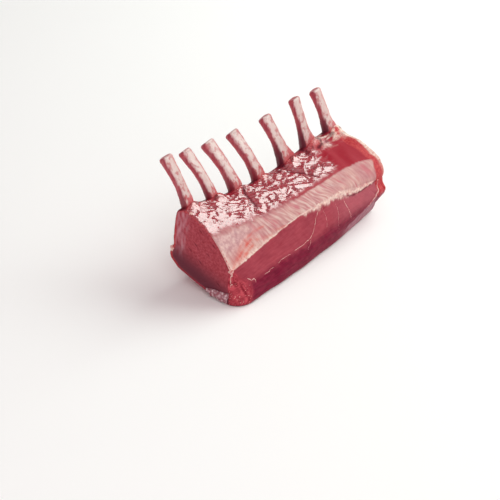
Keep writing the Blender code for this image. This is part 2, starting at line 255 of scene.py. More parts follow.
# The solid carries its own corner to the middle of its box. The loft is shifted by as much.
rough = surface(np.linspace(0, LENGTH, 60), np.linspace(0, len(NAMES), 120, endpoint=False))
meat_low, meat_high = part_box("meat")
CARRIED = Vector((meat_low.x + NEAR_DOME, meat_low.y - rough[..., 1].min(), 0.0))
print("carried by mm:", [round(v / MM, 2) for v in CARRIED])
print("height in mm, loft:", round(rough[..., 2].max() / MM, 2), "solid:", round(meat_high.z / MM, 2))

# %% [markdown]
# ## The camera
#
# The camera stands where the photograph was taken from: in front of the near corner, 30 degrees
# above the board, and it is a long lens. Its turn was worked out from straight edges, and its
# focal length goes with the 36 mm sensor.

# %% Camera
CAMERA_PLACE = Vector((-654.2, -465.0, 512.8)) * MM
CAMERA_RIGHT = Vector((0.59258, -0.80366, 0.05462))
CAMERA_DOWN = Vector((-0.37551, -0.3356, -0.86393))
CAMERA_AHEAD = Vector((0.71263, 0.49144, -0.50065))
FOCAL_PIXELS, PICTURE_PIXELS, SENSOR = 1289.58, 500, 36.0

lens = bpy.data.cameras.new("camera")
lens.sensor_width = SENSOR
lens.lens = FOCAL_PIXELS / PICTURE_PIXELS * SENSOR
lens.clip_start = 10 * MM
camera = bpy.data.objects.new("camera", lens)
bpy.context.scene.collection.objects.link(camera)
turned = Matrix((CAMERA_RIGHT, -CAMERA_DOWN, -CAMERA_AHEAD)).transposed().to_4x4()
turned.translation = CAMERA_PLACE + CARRIED
camera.matrix_world = turned
bpy.context.scene.camera = camera
print("focal length in mm:", round(lens.lens, 1))

# %% [markdown]
# ## Small tools
#
# Colours are given as people write them, in sRGB hex, and Blender computes in linear light, so
# one function turns the one into the other. One more adds a node with its settings and links to
# any node tree, for shading or geometry, and two short ones do the same for the commonest nodes.
# The last makes a mesh with its attributes.

# %% Helpers
def linear(hex_colour):
    """An sRGB hex colour as linear red, green, blue and alpha."""
    parts = [int(hex_colour[i : i + 2], 16) / 255 for i in (1, 3, 5)]
    return (*(c / 12.92 if c <= 0.04045 else ((c + 0.055) / 1.055) ** 2.4 for c in parts), 1.0)


def add(tree, kind, settings=None, inputs=None, take=None):
    """Adds a node with its settings, values and links, and returns the socket to go on from."""
    made = tree.nodes.new(kind)
    for name, value in (settings or {}).items():
        setattr(made, name, value)
    for key, value in (inputs or {}).items():
        if isinstance(value, bpy.types.NodeSocket):
            tree.links.new(value, made.inputs[key])
        else:
            made.inputs[key].default_value = value
    if take is not None:
        return made.outputs[take]
    return next((socket for socket in made.outputs if socket.enabled), made)


def maths(tree, operation, *operands):
    """A calculation with one to three sockets or numbers."""
    return add(tree, "ShaderNodeMath", {"operation": operation}, dict(enumerate(operands)))


def mapped(tree, given, low, high, start=0.0, end=1.0):
    """A value that goes from low to high while the given one goes from start to end."""
    return add(tree, "ShaderNodeMapRange", inputs={
        "Value": given, "From Min": start, "From Max": end, "To Min": low, "To Max": high})


def mesh_object(name, points, faces, attributes=None, edges=()):
    """A smooth mesh object from arrays, in the rack's own frame, with named point attributes."""
    data = bpy.data.meshes.new(name)
    data.from_pydata((np.asarray(points) + np.array(CARRIED)).tolist(), edges, faces)
    for key, values in (attributes or {}).items():
        kind = "FLOAT_VECTOR" if np.ndim(values) == 2 else "FLOAT"
        layer = data.attributes.new(key, kind, "POINT")
        layer.data.foreach_set("vector" if kind == "FLOAT_VECTOR" else "value", np.ravel(values))
    data.shade_smooth()
    made = bpy.data.objects.new(name, data)
    bpy.context.scene.collection.objects.link(made)
    return made


print("test colour:", [round(c, 3) for c in linear("#b7404d")])

# %% [markdown]
# ## The fine grid
#
# One grid covers the loin, with rows 0.6 mm apart, because that is the size of the smallest
# crinkle that shows. Round the section the points lie closest on the cap and the silverskin, and
# farther apart on the back and the underside. Each point keeps its place along the rack and its
# turn round it, and every pattern below is a formula of those two.

# %% The grid
ROW_GAP = 0.62 * MM
POINTS_PER_SPAN = (8, 18, 26, 14, 14, 26, 24, 12, 8, 14, 14, 12, 12, 12)

rows = [0.0, 0.25 * MM, NEAR_RIM]
count = round((LENGTH - FAR_RIM - NEAR_RIM) / ROW_GAP)
rows += list(np.linspace(NEAR_RIM, LENGTH - FAR_RIM, count + 1)[1:])
rows += [LENGTH - FAR_RIM * (1 - math.sin(angle)) for angle in np.linspace(0, math.pi / 2, 7)[1:]]
X = np.array(rows)
TURN = np.array([n + i / steps for n, steps in enumerate(POINTS_PER_SPAN) for i in range(steps)])
base = surface(X, TURN)
x, turn = X[:, None], TURN[None, :]

# The distance round the section, measured at mid length, so that patterns have true size.
middle = base[len(X) // 2, :, 1:]
steps = np.linalg.norm(np.roll(middle, -1, axis=0) - middle, axis=1)
ROUND = np.concatenate(((0.0,), np.cumsum(steps)[:-1]))
around = ROUND[None, :]
print("grid:", base.shape[0], "x", base.shape[1], "points,", round(steps.sum() / MM), "mm round")

# %% [markdown]
# ## What lies where
#
# The outside of a trimmed loin is a map of tissues. From the crest down come the thin wrinkled
# cap muscle, the pearly silverskin, the ridge with its cream fat, and the bare front muscle.
# Painting a picture of it would only work from one side. Each tissue is a mask instead, a number
# from 0 to 1 at every point, with borders that follow the turn and wander with noise.

# %% Masks of the tissues
def ripple(along_mm, round_mm, seed):
    """Noise over the grid with features of so many mm along the rack and round it."""
    return field(x / (along_mm * MM), around / (round_mm * MM), seed)


def rising(start_mm, end_mm):
    """A mask that goes from 0 to 1 between two places along the rack."""
    return ramp(x, start_mm * MM, end_mm * MM)


# The turn where the silverskin ends and the cap begins, spread evenly along the rack.
SKIN_TOP = (5.12, 4.80, 4.66, 4.98, 4.45)
# How far the silverskin hangs over the ridge, in turns, at places along the rack in mm.
HANGS_AT = (0, 60, 80, 100, 137, 152, 166, 188, 200)
HANGS = (0, 0, 0.08, 0.28, 0.33, 0.42, 0.36, 0.12, 0.1)
wander = 0.10 * ripple(6, 7, 3.0)
wander += 0.07 * ripple(2.2, 6, 5.0)
skin_top = rail(SKIN_TOP, x / LENGTH)
loose = 1 - 0.75 * rising(70, 110)
top_edge = turn + 2 * loose * wander
low_edge = turn + np.interp(x / MM, HANGS_AT, HANGS)
silverskin = ramp(low_edge + wander, 2.92, 3.06)
silverskin = silverskin * ramp(top_edge, skin_top + 0.18 * loose, skin_top - 0.30 * loose)
silverskin *= ramp(x + 18 * MM * wander, 188.5 * MM, 185 * MM)
cap = ramp(top_edge, skin_top - 0.15 * loose, skin_top + 0.30 * loose) * ramp(turn + wander, 7.75, 7.2)
smooth_far = ramp(x + 40 * MM * wander, 140 * MM, 158 * MM) * ramp(turn + 2 * wander, 6.75, 6.35)
at_notch = np.exp(-(((x - NOTCH_AT) / (9 * MM)) ** 2))
ridge_width = 0.09 + 0.22 * hump(x, -30 * MM, 75 * MM) + 0.02 * rising(60, 110)
ridge_width = ridge_width + 0.14 * at_notch
ridge_fat = np.exp(-(((low_edge + 1.2 * wander - 3.06) / ridge_width) ** 2))
ridge_fat *= ramp(low_edge + wander, 2.86, 3.0)
ridge_fat *= rising(188, 178) * (0.75 + 0.8 * ripple(3, 1.5, 9.0))
far_rim = ramp(x + 22 * MM * wander, 193 * MM, 196 * MM) * hump(turn, 3.2, 9.4) ** 0.5
patches = ramp(field((x + 0.8 * around) / (9 * MM), around / (2.2 * MM), 7.0), -0.2, 0.15)
patches *= rising(160, 170) * hump(turn + wander, 6.3, 7.9) ** 0.6
near_edge = 0.8 * ramp(x + 8 * MM * wander, 4.0 * MM, 0.5 * MM) * silverskin * ramp(turn, 4.7, 3.7)
fat = np.clip(ridge_fat + far_rim + patches + near_edge, 0, 1)
print("silverskin covers", round(100 * silverskin.mean()), "% of the grid")

# %% [markdown]
# ## Crinkles, threads and grain
#
# The cap is a thin sheet of muscle under a wet film, and it is puckered like crumpled foil: flat
# facets a few millimetres wide, each tilted its own way, with narrow seams between them. Smooth
# noise has no facets, so a cell pattern is used: every cell has a random tilt, and neighbours
# are blended over a seam, which is frayed along one direction. Two sets of large cells lean
# opposite ways, and much smaller ones roughen them, most of all in the near half. The film lies
# flatter beside the near edge. It is taut and smooth at the far end and, except in the near
# third, in a narrow band above the silverskin. Three quarters of the solid's own slow waves are
# taken away under the crinkles. Reflections show every facet, so the facets are real relief.

# %% Crumpled relief of the cap
JITTER, BLEND = 0.38, 14
BEND_ALONG, BEND_ROUND, BEND_SIZE = 0.55, 0.45, 9 * MM
FRAY, FRAY_LONG, FRAY_FINE, FRAY_LEAN = 0.45, 7 * MM, 0.8 * MM, 0.48
SEAM_DEPTH, SLOW_TAKEN = 0.08 * MM, 0.75


def chance(*numbers):
    """A repeatable random number from -1 to 1 for each set of whole numbers."""
    mixed = sum(n * factor for n, factor in zip(numbers, (127.1, 311.7, 74.7)))
    return 2 * np.modf(np.abs(np.sin(mixed)) * 43758.5453)[0] - 1


def facets(lean, rise, wide, tall, steep, seed):
    """Relief of tilted cells in metres, and a mask of the seams between them."""
    bend = field(x / BEND_SIZE, around / BEND_SIZE, seed + 0.5)
    teeth = field(x / FRAY_LONG, (around + FRAY_LEAN * x) / FRAY_FINE, seed + 0.7)
    u = (x + lean * around) / wide + BEND_ALONG * bend + FRAY * teeth
    v = (around - rise * x) / tall - BEND_ROUND * bend
    cell_u, cell_v = np.floor(u), np.floor(v)
    height = total = strongest = 0.0
    for step_u in (-1, 0, 1):
        for step_v in (-1, 0, 1):
            cell = cell_u + step_u, cell_v + step_v
            away_u = u - cell[0] - 0.5 - JITTER * chance(*cell, seed)
            away_v = v - cell[1] - 0.5 - JITTER * chance(*cell, seed + 1)
            near = np.exp(-BLEND * (away_u**2 + away_v**2))
            tilt_u, tilt_v = chance(*cell, seed + 2), chance(*cell, seed + 3)
            height = height + near * steep * (tilt_u * away_u * wide + tilt_v * away_v * tall)
            total = total + near
            strongest = np.maximum(strongest, near)
    return height / total, ramp(strongest / total, 0.72, 0.50)


broad, seams = facets(0.7, -0.15, 12 * MM, 5 * MM, 0.13, 73)
crossing, _ = facets(-0.55, 0.0, 12 * MM, 9 * MM, 0.13, 25)
small, small_seams = facets(0.3, -0.48, 6 * MM, 1.3 * MM, 0.12, 23)
near_half = rising(130, 60)
lower_edge = ramp(turn, 6.0, 5.5)
fringed = smooth_far + 0.4 * ripple(8, 1.6, 54.0)
crinkled = cap * ramp(fringed, 0.85, 0.30) * ramp(turn, 7.6, 7.0) * rising(178, 165)
taut = rising(60, 90) * ramp(top_edge + wander, skin_top + 0.45, skin_top + 0.15)
crinkled *= 1 - 0.9 * taut
finely = 0.3 + 0.7 * near_half * (1 - 0.7 * lower_edge)
girth = turn * GIRTH_PER_TURN
slow = WRINKLE * hump(turn, 4.3, 8.2) * field(x / WRINKLE_SIZE, girth / WRINKLE_SIZE)
lies_flat = (hump(x, -2 * MM, 36 * MM) * hump(turn, 4.8, 6.3)) ** 0.5
crumple = broad + crossing + finely * small - SEAM_DEPTH * seams
relief = crinkled * ((1 - 0.7 * lies_flat) * crumple - SLOW_TAKEN * slow)
creases = np.clip(0.8 * seams + 0.5 * finely * small_seams, 0, 1) * crinkled
print("relief of the cap in mm:", (relief.min() / MM).round(2), "to", (relief.max() / MM).round(2))

# %% [markdown]
# The silverskin has fine leaning streaks and a few deeper pleats. The front muscle has long
# fibres, the back is soft, and the trimmed near edge is ragged on the rib side. Lumps of fat
# stand out on the ridge and at the far end, where folds cross the front muscle.

# %% Relief of the other tissues
SKIN_LEAN = 0.58
swing = 2.6 * MM * ripple(16, 10, 32.0)
leaned = x + SKIN_LEAN * around + swing
streaks = field(leaned / (1.6 * MM), around / (12 * MM), 31.0)
pleats = field(leaned / (2.6 * MM), around / (16 * MM), 33.0)
pleats = pleats + 0.5 * ripple(9, 5, 34.0)
# The pleats are folds with a little relief; the darker red laid on them is painted shade.
pleat_lines = ramp(pleats, 0.10, 0.65) * silverskin * rising(24, 45)
calm = rising(110, 150)
relief += silverskin * MM * (0.03 + 0.08 * rising(20, 60)) * (1 - 0.7 * calm) * streaks
relief -= 0.14 * MM * pleat_lines
ridge_line = np.exp(-(((turn - 3.0) / 0.22) ** 2))
jags = 0.7 * field(x / (4.5 * MM), 0.0, 35.0) + 0.4 * field(x / (1.9 * MM), 0.0, 36.0)
relief += ridge_line * MM * jags
lumpy = 0.6 + ripple(2.6, 2.6, 37.0)
relief += (0.30 * ridge_fat + 0.5 * patches + 0.5 * far_rim) * lumpy * MM
front = ramp(turn, 2.95, 2.7) * ramp(turn, 0.3, 0.8)
fibres = ripple(7, 1.9, 41.0)
fibres = fibres + 0.7 * field((x + 0.8 * around) / (3 * MM), around / (9 * MM), 42.0)
relief += front * 0.14 * MM * fibres
back = ramp(turn, 8.2, 9.0) * ramp(turn, 12.6, 12.0)
relief += back * 0.35 * MM * ripple(4, 9, 43.0)
ragged = ramp(x, 7 * MM, 0) * hump(turn, 7.6, 13.0)
relief += ragged * 0.9 * MM * ripple(4, 4, 45.0)
far_folds = rising(172, 190) * front
fold_path = ripple(7, 30, 46.0)
relief -= far_folds * 1.1 * MM * np.exp(-((fold_path / 0.12) ** 2))
relief *= ramp(base[..., 2], 0.0, 2.5 * MM)
print("all fine relief in mm:", (relief.min() / MM).round(2), "to", (relief.max() / MM).round(2))

# %% [markdown]
# More masks tell the finish what the eye sees there: bright red film round the rib feet, the
# deeper magenta of the lower front, a lilac patch of membrane near the far bottom edge, blood-red
# streaks in the near tip of the silverskin, and the flecked red corner next to the near face. One
# mask paints shade into the colour: in the hollows beside the rib feet, along the folds and
# crevices of the cap, in a small tear in the cap, under the far lip of the silverskin and in the
# slits of the near face.

# %% Masks for the finish
# Streaks of blood under the silverskin: places as (mm along, turn), and how strong they are.
BLOOD = (
    (((0.5, 3.12), (9, 3.40), (18, 3.62), (30, 3.80)), 0.9),
    (((0.5, 3.07), (10, 3.22), (20, 3.38), (29, 3.52)), 0.8),
    (((7, 3.42), (15, 3.72), (24, 3.98)), 0.5),
    (((24, 3.9), (34, 4.1), (46, 4.0)), 0.6),
    (((34, 3.62), (41, 3.44), (49, 3.3)), 0.5),
    (((52, 3.5), (58, 3.25), (64, 3.1)), 0.6),
)
BLOOD_GLOW = ((2, 3.2), (10, 3.42), (20, 3.64), (33, 3.78))
# The shadow under the far lip of the silverskin, and a tear in the cap, as (mm along, turn).
LIP = ((144, 2.58), (152, 2.52), (166, 2.56), (178, 2.68), (188, 2.82))
TEAR = ((158, 6.70), (166, 6.79))


def near_path(path, sharp):
    """A mask that is 1 on a path of (mm along, turn) and fades over sharp mm beside it."""
    best = np.full(base.shape[:2], 1e9)
    corners = [(px * MM, np.interp(t, TURN, ROUND)) for px, t in path]
    wobble = 0.5 * MM * ripple(4, 4, 47.0)
    for (ax, ar), (bx, br) in zip(corners, corners[1:]):
        run = (bx - ax) ** 2 + (br - ar) ** 2
        share = np.clip(((x - ax) * (bx - ax) + (around - ar) * (br - ar)) / run, 0, 1)
        gap = np.hypot(x - ax - share * (bx - ax), around - ar - share * (br - ar))
        best = np.minimum(best, gap)
    return np.exp(-(((best + wobble) / (sharp * MM)) ** 2))


# Painted shade in the hollow beside each rib foot, and red film round each foot.
painted_hollow_shade = np.zeros(base.shape[:2])
film = np.zeros(base.shape[:2])
for (foot_x, foot_y, _), _, _, _, _, web in RIBS:
    along = (x - (foot_x - 6.5) * MM) / (4.0 * MM)
    painted_hollow_shade += np.exp(-(along**2) - ((turn - 7.55) / 0.35) ** 2)
    along = (x - (foot_x + 1.5 + 0.4 * web) * MM) / (7 * MM)
    film += np.exp(-(along**2) - ((turn - 7.15) / 0.40) ** 2)
# Painted shade along the two folds and in crevices of the cap.
painted_fold_shade = sum(near_path(path, 1.1) for path in FOLDS)
painted_crevice_shade = ramp(ripple(5, 3.5, 48.0), 0.05, 0.35) * hump(turn, 6.4, 7.7) * cap
# One mask of painted shade: the hollows, the folds, the crevices, faintly the seams of the facets.
painted_shade = np.clip(painted_hollow_shade + 0.9 * painted_fold_shade * cap + 0.15 * creases + 0.7 * painted_crevice_shade, 0, 1)
# Painted shadow under the far lip of the silverskin, and painted shade in the tear.
painted_lip_shadow = near_path(LIP, 0.8)
painted_tear_shade = near_path(TEAR, 1.1)
matt_round_tear = 1 - near_path(TEAR, 4.5)
painted_shade = np.clip(painted_shade + 0.8 * painted_tear_shade + 0.85 * painted_lip_shadow * (1 - silverskin), 0, 1)
magenta_top = rail((1.75, 1.95, 1.85, 1.8, 1.7), x / LENGTH)
soft_edge = 0.12 + 0.25 * rising(90, 130)
magenta = ramp(turn + 0.6 * wander, magenta_top + soft_edge, magenta_top - 0.35)
magenta = magenta * (1 - cap) * (1 - silverskin) * ramp(turn, 9.5, 8.5)
lilac_top = 1.15 + 0.55 * rising(140, 185)
lilac = ramp(turn + 1.5 * wander, lilac_top, lilac_top - 0.12) * rising(132, 150)
lilac *= ramp(turn, 4.0, 3.0) * (0.75 + 0.6 * ripple(4, 3, 53.0))
fan_wide = 1.5 + 10.0 * ramp(turn, 2.95, 1.2) ** 0.8
fan = x / (fan_wide * MM)
frayed = 0.35 * field(fan * 3.2, around / (14 * MM), 49.0) + 1.5 * wander
corner = ramp(fan + frayed, 1.5, 0.75) * ramp(turn, 3.0, 2.9) * ramp(turn, 0.1, 0.5)
rays = field(fan * 6.0, around / (6 * MM), 50.0) + 0.6 * field(x / MM, around / MM, 52.0)
blood = 0.3 * near_path(BLOOD_GLOW, 2.6)
for spots, strength in BLOOD:
    blood = blood + strength * near_path(spots, 0.6)
blood *= silverskin * (0.75 + 0.8 * ripple(7, 2, 51.0))
blood = blood.clip(0, 1)
far_red = ramp(x + 12 * MM * wander, 185 * MM, 188 * MM) * ramp(turn, 1.6, 2.2) * ramp(turn, 8.6, 7.8)
film = np.clip(film + 0.8 * far_red, 0, 1) * (1 - painted_hollow_shade.clip(0, 1))
veil = silverskin * rising(55, 15) * ramp(turn, 3.5, 4.1)
print("dark covers", round(100 * painted_shade.mean()), "%, magenta", round(100 * magenta.mean()), "%")

# %% [markdown]
# ## The cut faces
#
# Both ends are clean knife cuts straight across the muscle. The grain stands end on there, so
# the face shows small bundles instead of long fibres. Rings that shrink towards the middle close
# the grid, with a slight dome, and their relief is a fine mottling with a few knife slits.

# %% Close both ends and build the mesh
NEAR_RINGS, FAR_RINGS = 52, 26
# Slits in the near face as (y, z) in mm, with their length in mm.
SLITS = (((30.6, 51.5), 3.5), ((24.4, 56.4), 2.5), ((18.2, 43.7), 3.0), ((39.2, 33.0), 4.0),
         ((29.5, 26.5), 5.0), ((33.8, 39.4), 3.5), ((12.0, 14.0), 4.0), ((22.0, 35.0), 3.0))
SLIT_TURN = math.radians(-38)

unit_x = np.gradient(base, axis=0)
unit_round = np.roll(base, -1, axis=1) - np.roll(base, 1, axis=1)
normals = np.cross(unit_x, unit_round)
normals /= np.linalg.norm(normals, axis=-1)[..., None]
if (normals * (base - base.mean(axis=1, keepdims=True))).sum() < 0:
    normals = -normals
normals[..., 0] *= np.minimum(1, np.minimum(x, LENGTH - x) / (3 * MM))
skin_points = base + normals * relief[..., None]


def slit_mask(points):
    """1 in the slits of the near face."""
    total = np.zeros(points.shape[:2])
    for (slit_y, slit_z), length in SLITS:
        dy, dz = points[..., 1] - slit_y * MM, points[..., 2] - slit_z * MM
        along = dy * math.cos(SLIT_TURN) - dz * math.sin(SLIT_TURN)
        across = dy * math.sin(SLIT_TURN) + dz * math.cos(SLIT_TURN)
        total += np.exp(-((along / (length * MM / 2)) ** 2) - (across / (0.45 * MM)) ** 2)
    return total.clip(0, 1)


def cut_face(edge, rings, dome):
    """Rings of points that shrink from an edge to its middle, and how far in each one is."""
    centre = edge.mean(axis=0)
    shares = (np.arange(1, rings + 1) / (rings + 0.5))[:, None]
    points = edge[None] + (centre - edge)[None] * shares[..., None]
    side = np.sign(dome)
    grain = field(points[..., 1] / (1.7 * MM), points[..., 2] / (1.7 * MM), 61.0 * side)
    slow = field(points[..., 1] / (11 * MM), points[..., 2] / (11 * MM), 67.0 * side)
    inside = ramp(shares, 0.0, 0.08)
    points[..., 0] += dome * np.sin(shares * math.pi / 2)
    points[..., 0] += side * MM * inside * (0.13 * grain + 0.5 * slow - 0.6 * slit_mask(points))
    return points, np.broadcast_to(shares, points.shape[:2])


near_points, near_share = cut_face(skin_points[0], NEAR_RINGS, -NEAR_DOME)
far_points, far_share = cut_face(skin_points[-1], FAR_RINGS, FAR_DOME)
blocks = np.concatenate((near_points[::-1], skin_points, far_points))
poles = near_points[-1].mean(axis=0), far_points[-1].mean(axis=0)
all_points = np.vstack((blocks.reshape(-1, 3), *poles))
near_y, near_z = near_points[..., 1] / MM, near_points[..., 2] / MM
# Painted sheen: a lighter, greyer glisten on the near face's band beside the ribs.
painted_sheen = ramp(near_y + 0.10 * near_z, 44, 52) * ramp(near_z, 10, 20)
painted_sheen *= 0.45 + 1.1 * field(near_y / 2.2, near_z / 6, 71.0)
# Painted shade: the near face darker towards the bottom, reaching higher towards the back.
painted_shade_low = ramp(near_z - 0.35 * near_y, 22, 2)
# Painted shade in the slits of the near face, added to the shade mask below.
painted_slit_shade = slit_mask(near_points)
fat_reach = 0.03 + 0.13 * hump(turn, 4.5, 9.0) * (1 + 0.8 * field(around / (9 * MM), 5.0))
far_fat = ramp(far_share, fat_reach + 0.03, fat_reach - 0.02)
far_fat = far_fat * ramp(turn, 3.6, 4.6) * ramp(turn, 9.6, 8.6)
red_rim = ramp(near_share, 0.075, 0.0) * hump(turn, 4.0, 8.2) ** 0.5
red_rim = red_rim + ramp(near_share, 0.10, 0.0) * hump(turn, 7.6, 12.6) ** 0.5


def over_all(on_skin, on_near=0.0, on_far=0.0):
    """A mask for every point of the mesh, from its values on the skin and on the two cuts."""
    width = base.shape[1]
    near = np.broadcast_to(on_near, (NEAR_RINGS, width))[::-1]
    far = np.broadcast_to(on_far, (FAR_RINGS, width))
    whole = np.concatenate((near, np.broadcast_to(on_skin, base.shape[:2]), far)).ravel()
    return np.concatenate((whole, (near[0].mean(), far[-1].mean())))


def ring_faces(n_rings, n_round):
    """Quads between rings of points, then a fan to each pole."""
    quads = []
    for i in range(n_rings - 1):
        a, b = i * n_round, (i + 1) * n_round
        for j in range(n_round):
            k = (j + 1) % n_round
            quads.append((a + j, a + k, b + k, b + j))
    last, pole = (n_rings - 1) * n_round, n_rings * n_round
    quads += [(pole, (j + 1) % n_round, j) for j in range(n_round)]
    quads += [(pole + 1, last + j, last + (j + 1) % n_round) for j in range(n_round)]
    return quads


flow = np.stack((over_all(leaned), over_all(around, around, around), over_all(x)), axis=1)
loin_faces = ring_faces(*blocks.shape[:2])
loin = mesh_object("loin", all_points, loin_faces, {
    "flow": flow,
    "silverskin": over_all(silverskin),
    "wet": over_all(crinkled * matt_round_tear * (1 - 0.8 * painted_shade) * (1 - 0.25 * creases)),
    "crinkled": over_all(crinkled),
    "rays": over_all(0.5 + 0.5 * rays),
    "cap": over_all(cap),
    "fat": over_all(fat, 0.0, 0.85 * far_fat),
    "painted_shade": over_all(painted_shade, painted_slit_shade * 0.8),
    "film": over_all(film, red_rim.clip(0, 1)),
    "magenta": over_all(magenta),
    "lilac": over_all(lilac),
    "corner": over_all(corner),
    "blood": over_all(blood),
    "veil": over_all(veil),
    "calm": over_all(calm),
    "pleats": over_all(pleat_lines),
    "fibres": over_all(0.5 + 0.5 * fibres * front),
    "cut": over_all(0.0, ramp(near_share, 0.0, 0.03), 1.0),
    "painted_sheen": over_all(0.0, painted_sheen.clip(0, 1)),
    "painted_shade_low": over_all(0.0, painted_shade_low),
})
# The grid's rings run clockwise seen from outside, so every face is turned to look outwards.
loin.data.flip_normals()
check = bmesh.new()
check.from_mesh(loin.data)
volume = check.calc_volume(signed=True)
check.free()
print("loin:", len(loin.data.polygons), "faces, volume in cm3:", round(volume * 1e6, 1))

# %% [markdown]
# ## Raw lamb
#
# Raw lamb is translucent muscle under a film of water: light goes a millimetre or two in and
# comes out redder, and the film on the cap reflects like glass. A Principled shader gives both,
# with some subsurface scattering, and with a roughness that falls where the mask "wet" is high.
# The colours of the tissues are laid over each other by the masks, each with its own noise in
# true size: fibre bundles of about 2 mm, streaks of the silverskin that follow the surface, and
# a fine speckle.

# %% Finish of the loin
def between_colours(tree, factor, *stops):
    """A colour ramp through stops of (position, hex colour)."""
    socket = add(tree, "ShaderNodeValToRGB", inputs={0: factor}, take=0)
    elements = socket.node.color_ramp.elements
    while len(elements) < len(stops):
        elements.new(0.5)
    for element, (position, colour) in zip(elements, stops):
        element.position = position
        element.color = linear(colour)
    return socket


def layer(tree, share, under, over):
    """One colour over another by a share."""
    return add(tree, "ShaderNodeMix", {"data_type": "RGBA"}, {0: share, 6: under, 7: over})


def value(tree, name):
    """The point attribute of that name."""
    return add(tree, "ShaderNodeAttribute", {"attribute_name": name}, take="Fac")


def speckle(tree, place, scale, detail):
    """Noise with a number of features for each metre, or for each unit of place."""
    inputs = {"Vector": place, "Scale": scale, "Detail": detail}
    return add(tree, "ShaderNodeTexNoise", inputs=inputs)


def laid_over(tree, colour, *layers):
    """Lays colours over one another, each where the mask of that name is high."""
    for mask, top in layers:
        colour = layer(tree, value(tree, mask), colour, linear(top) if isinstance(top, str) else top)
    return colour


def new_tree(name):
    """An empty material of that name, its node tree, and the place on the object in metres."""
    material = bpy.data.materials.new(name)
    material.use_nodes = True
    tree = material.node_tree
    tree.nodes.clear()
    return material, tree, add(tree, "ShaderNodeTexCoord", take="Object")


def shaded(material, inputs):
    """Gives a material one Principled shader with these inputs, and returns it."""
    tree = material.node_tree
    shader = add(tree, "ShaderNodeBsdfPrincipled", inputs=inputs)
    add(tree, "ShaderNodeOutputMaterial", inputs={"Surface": shader})
    return material


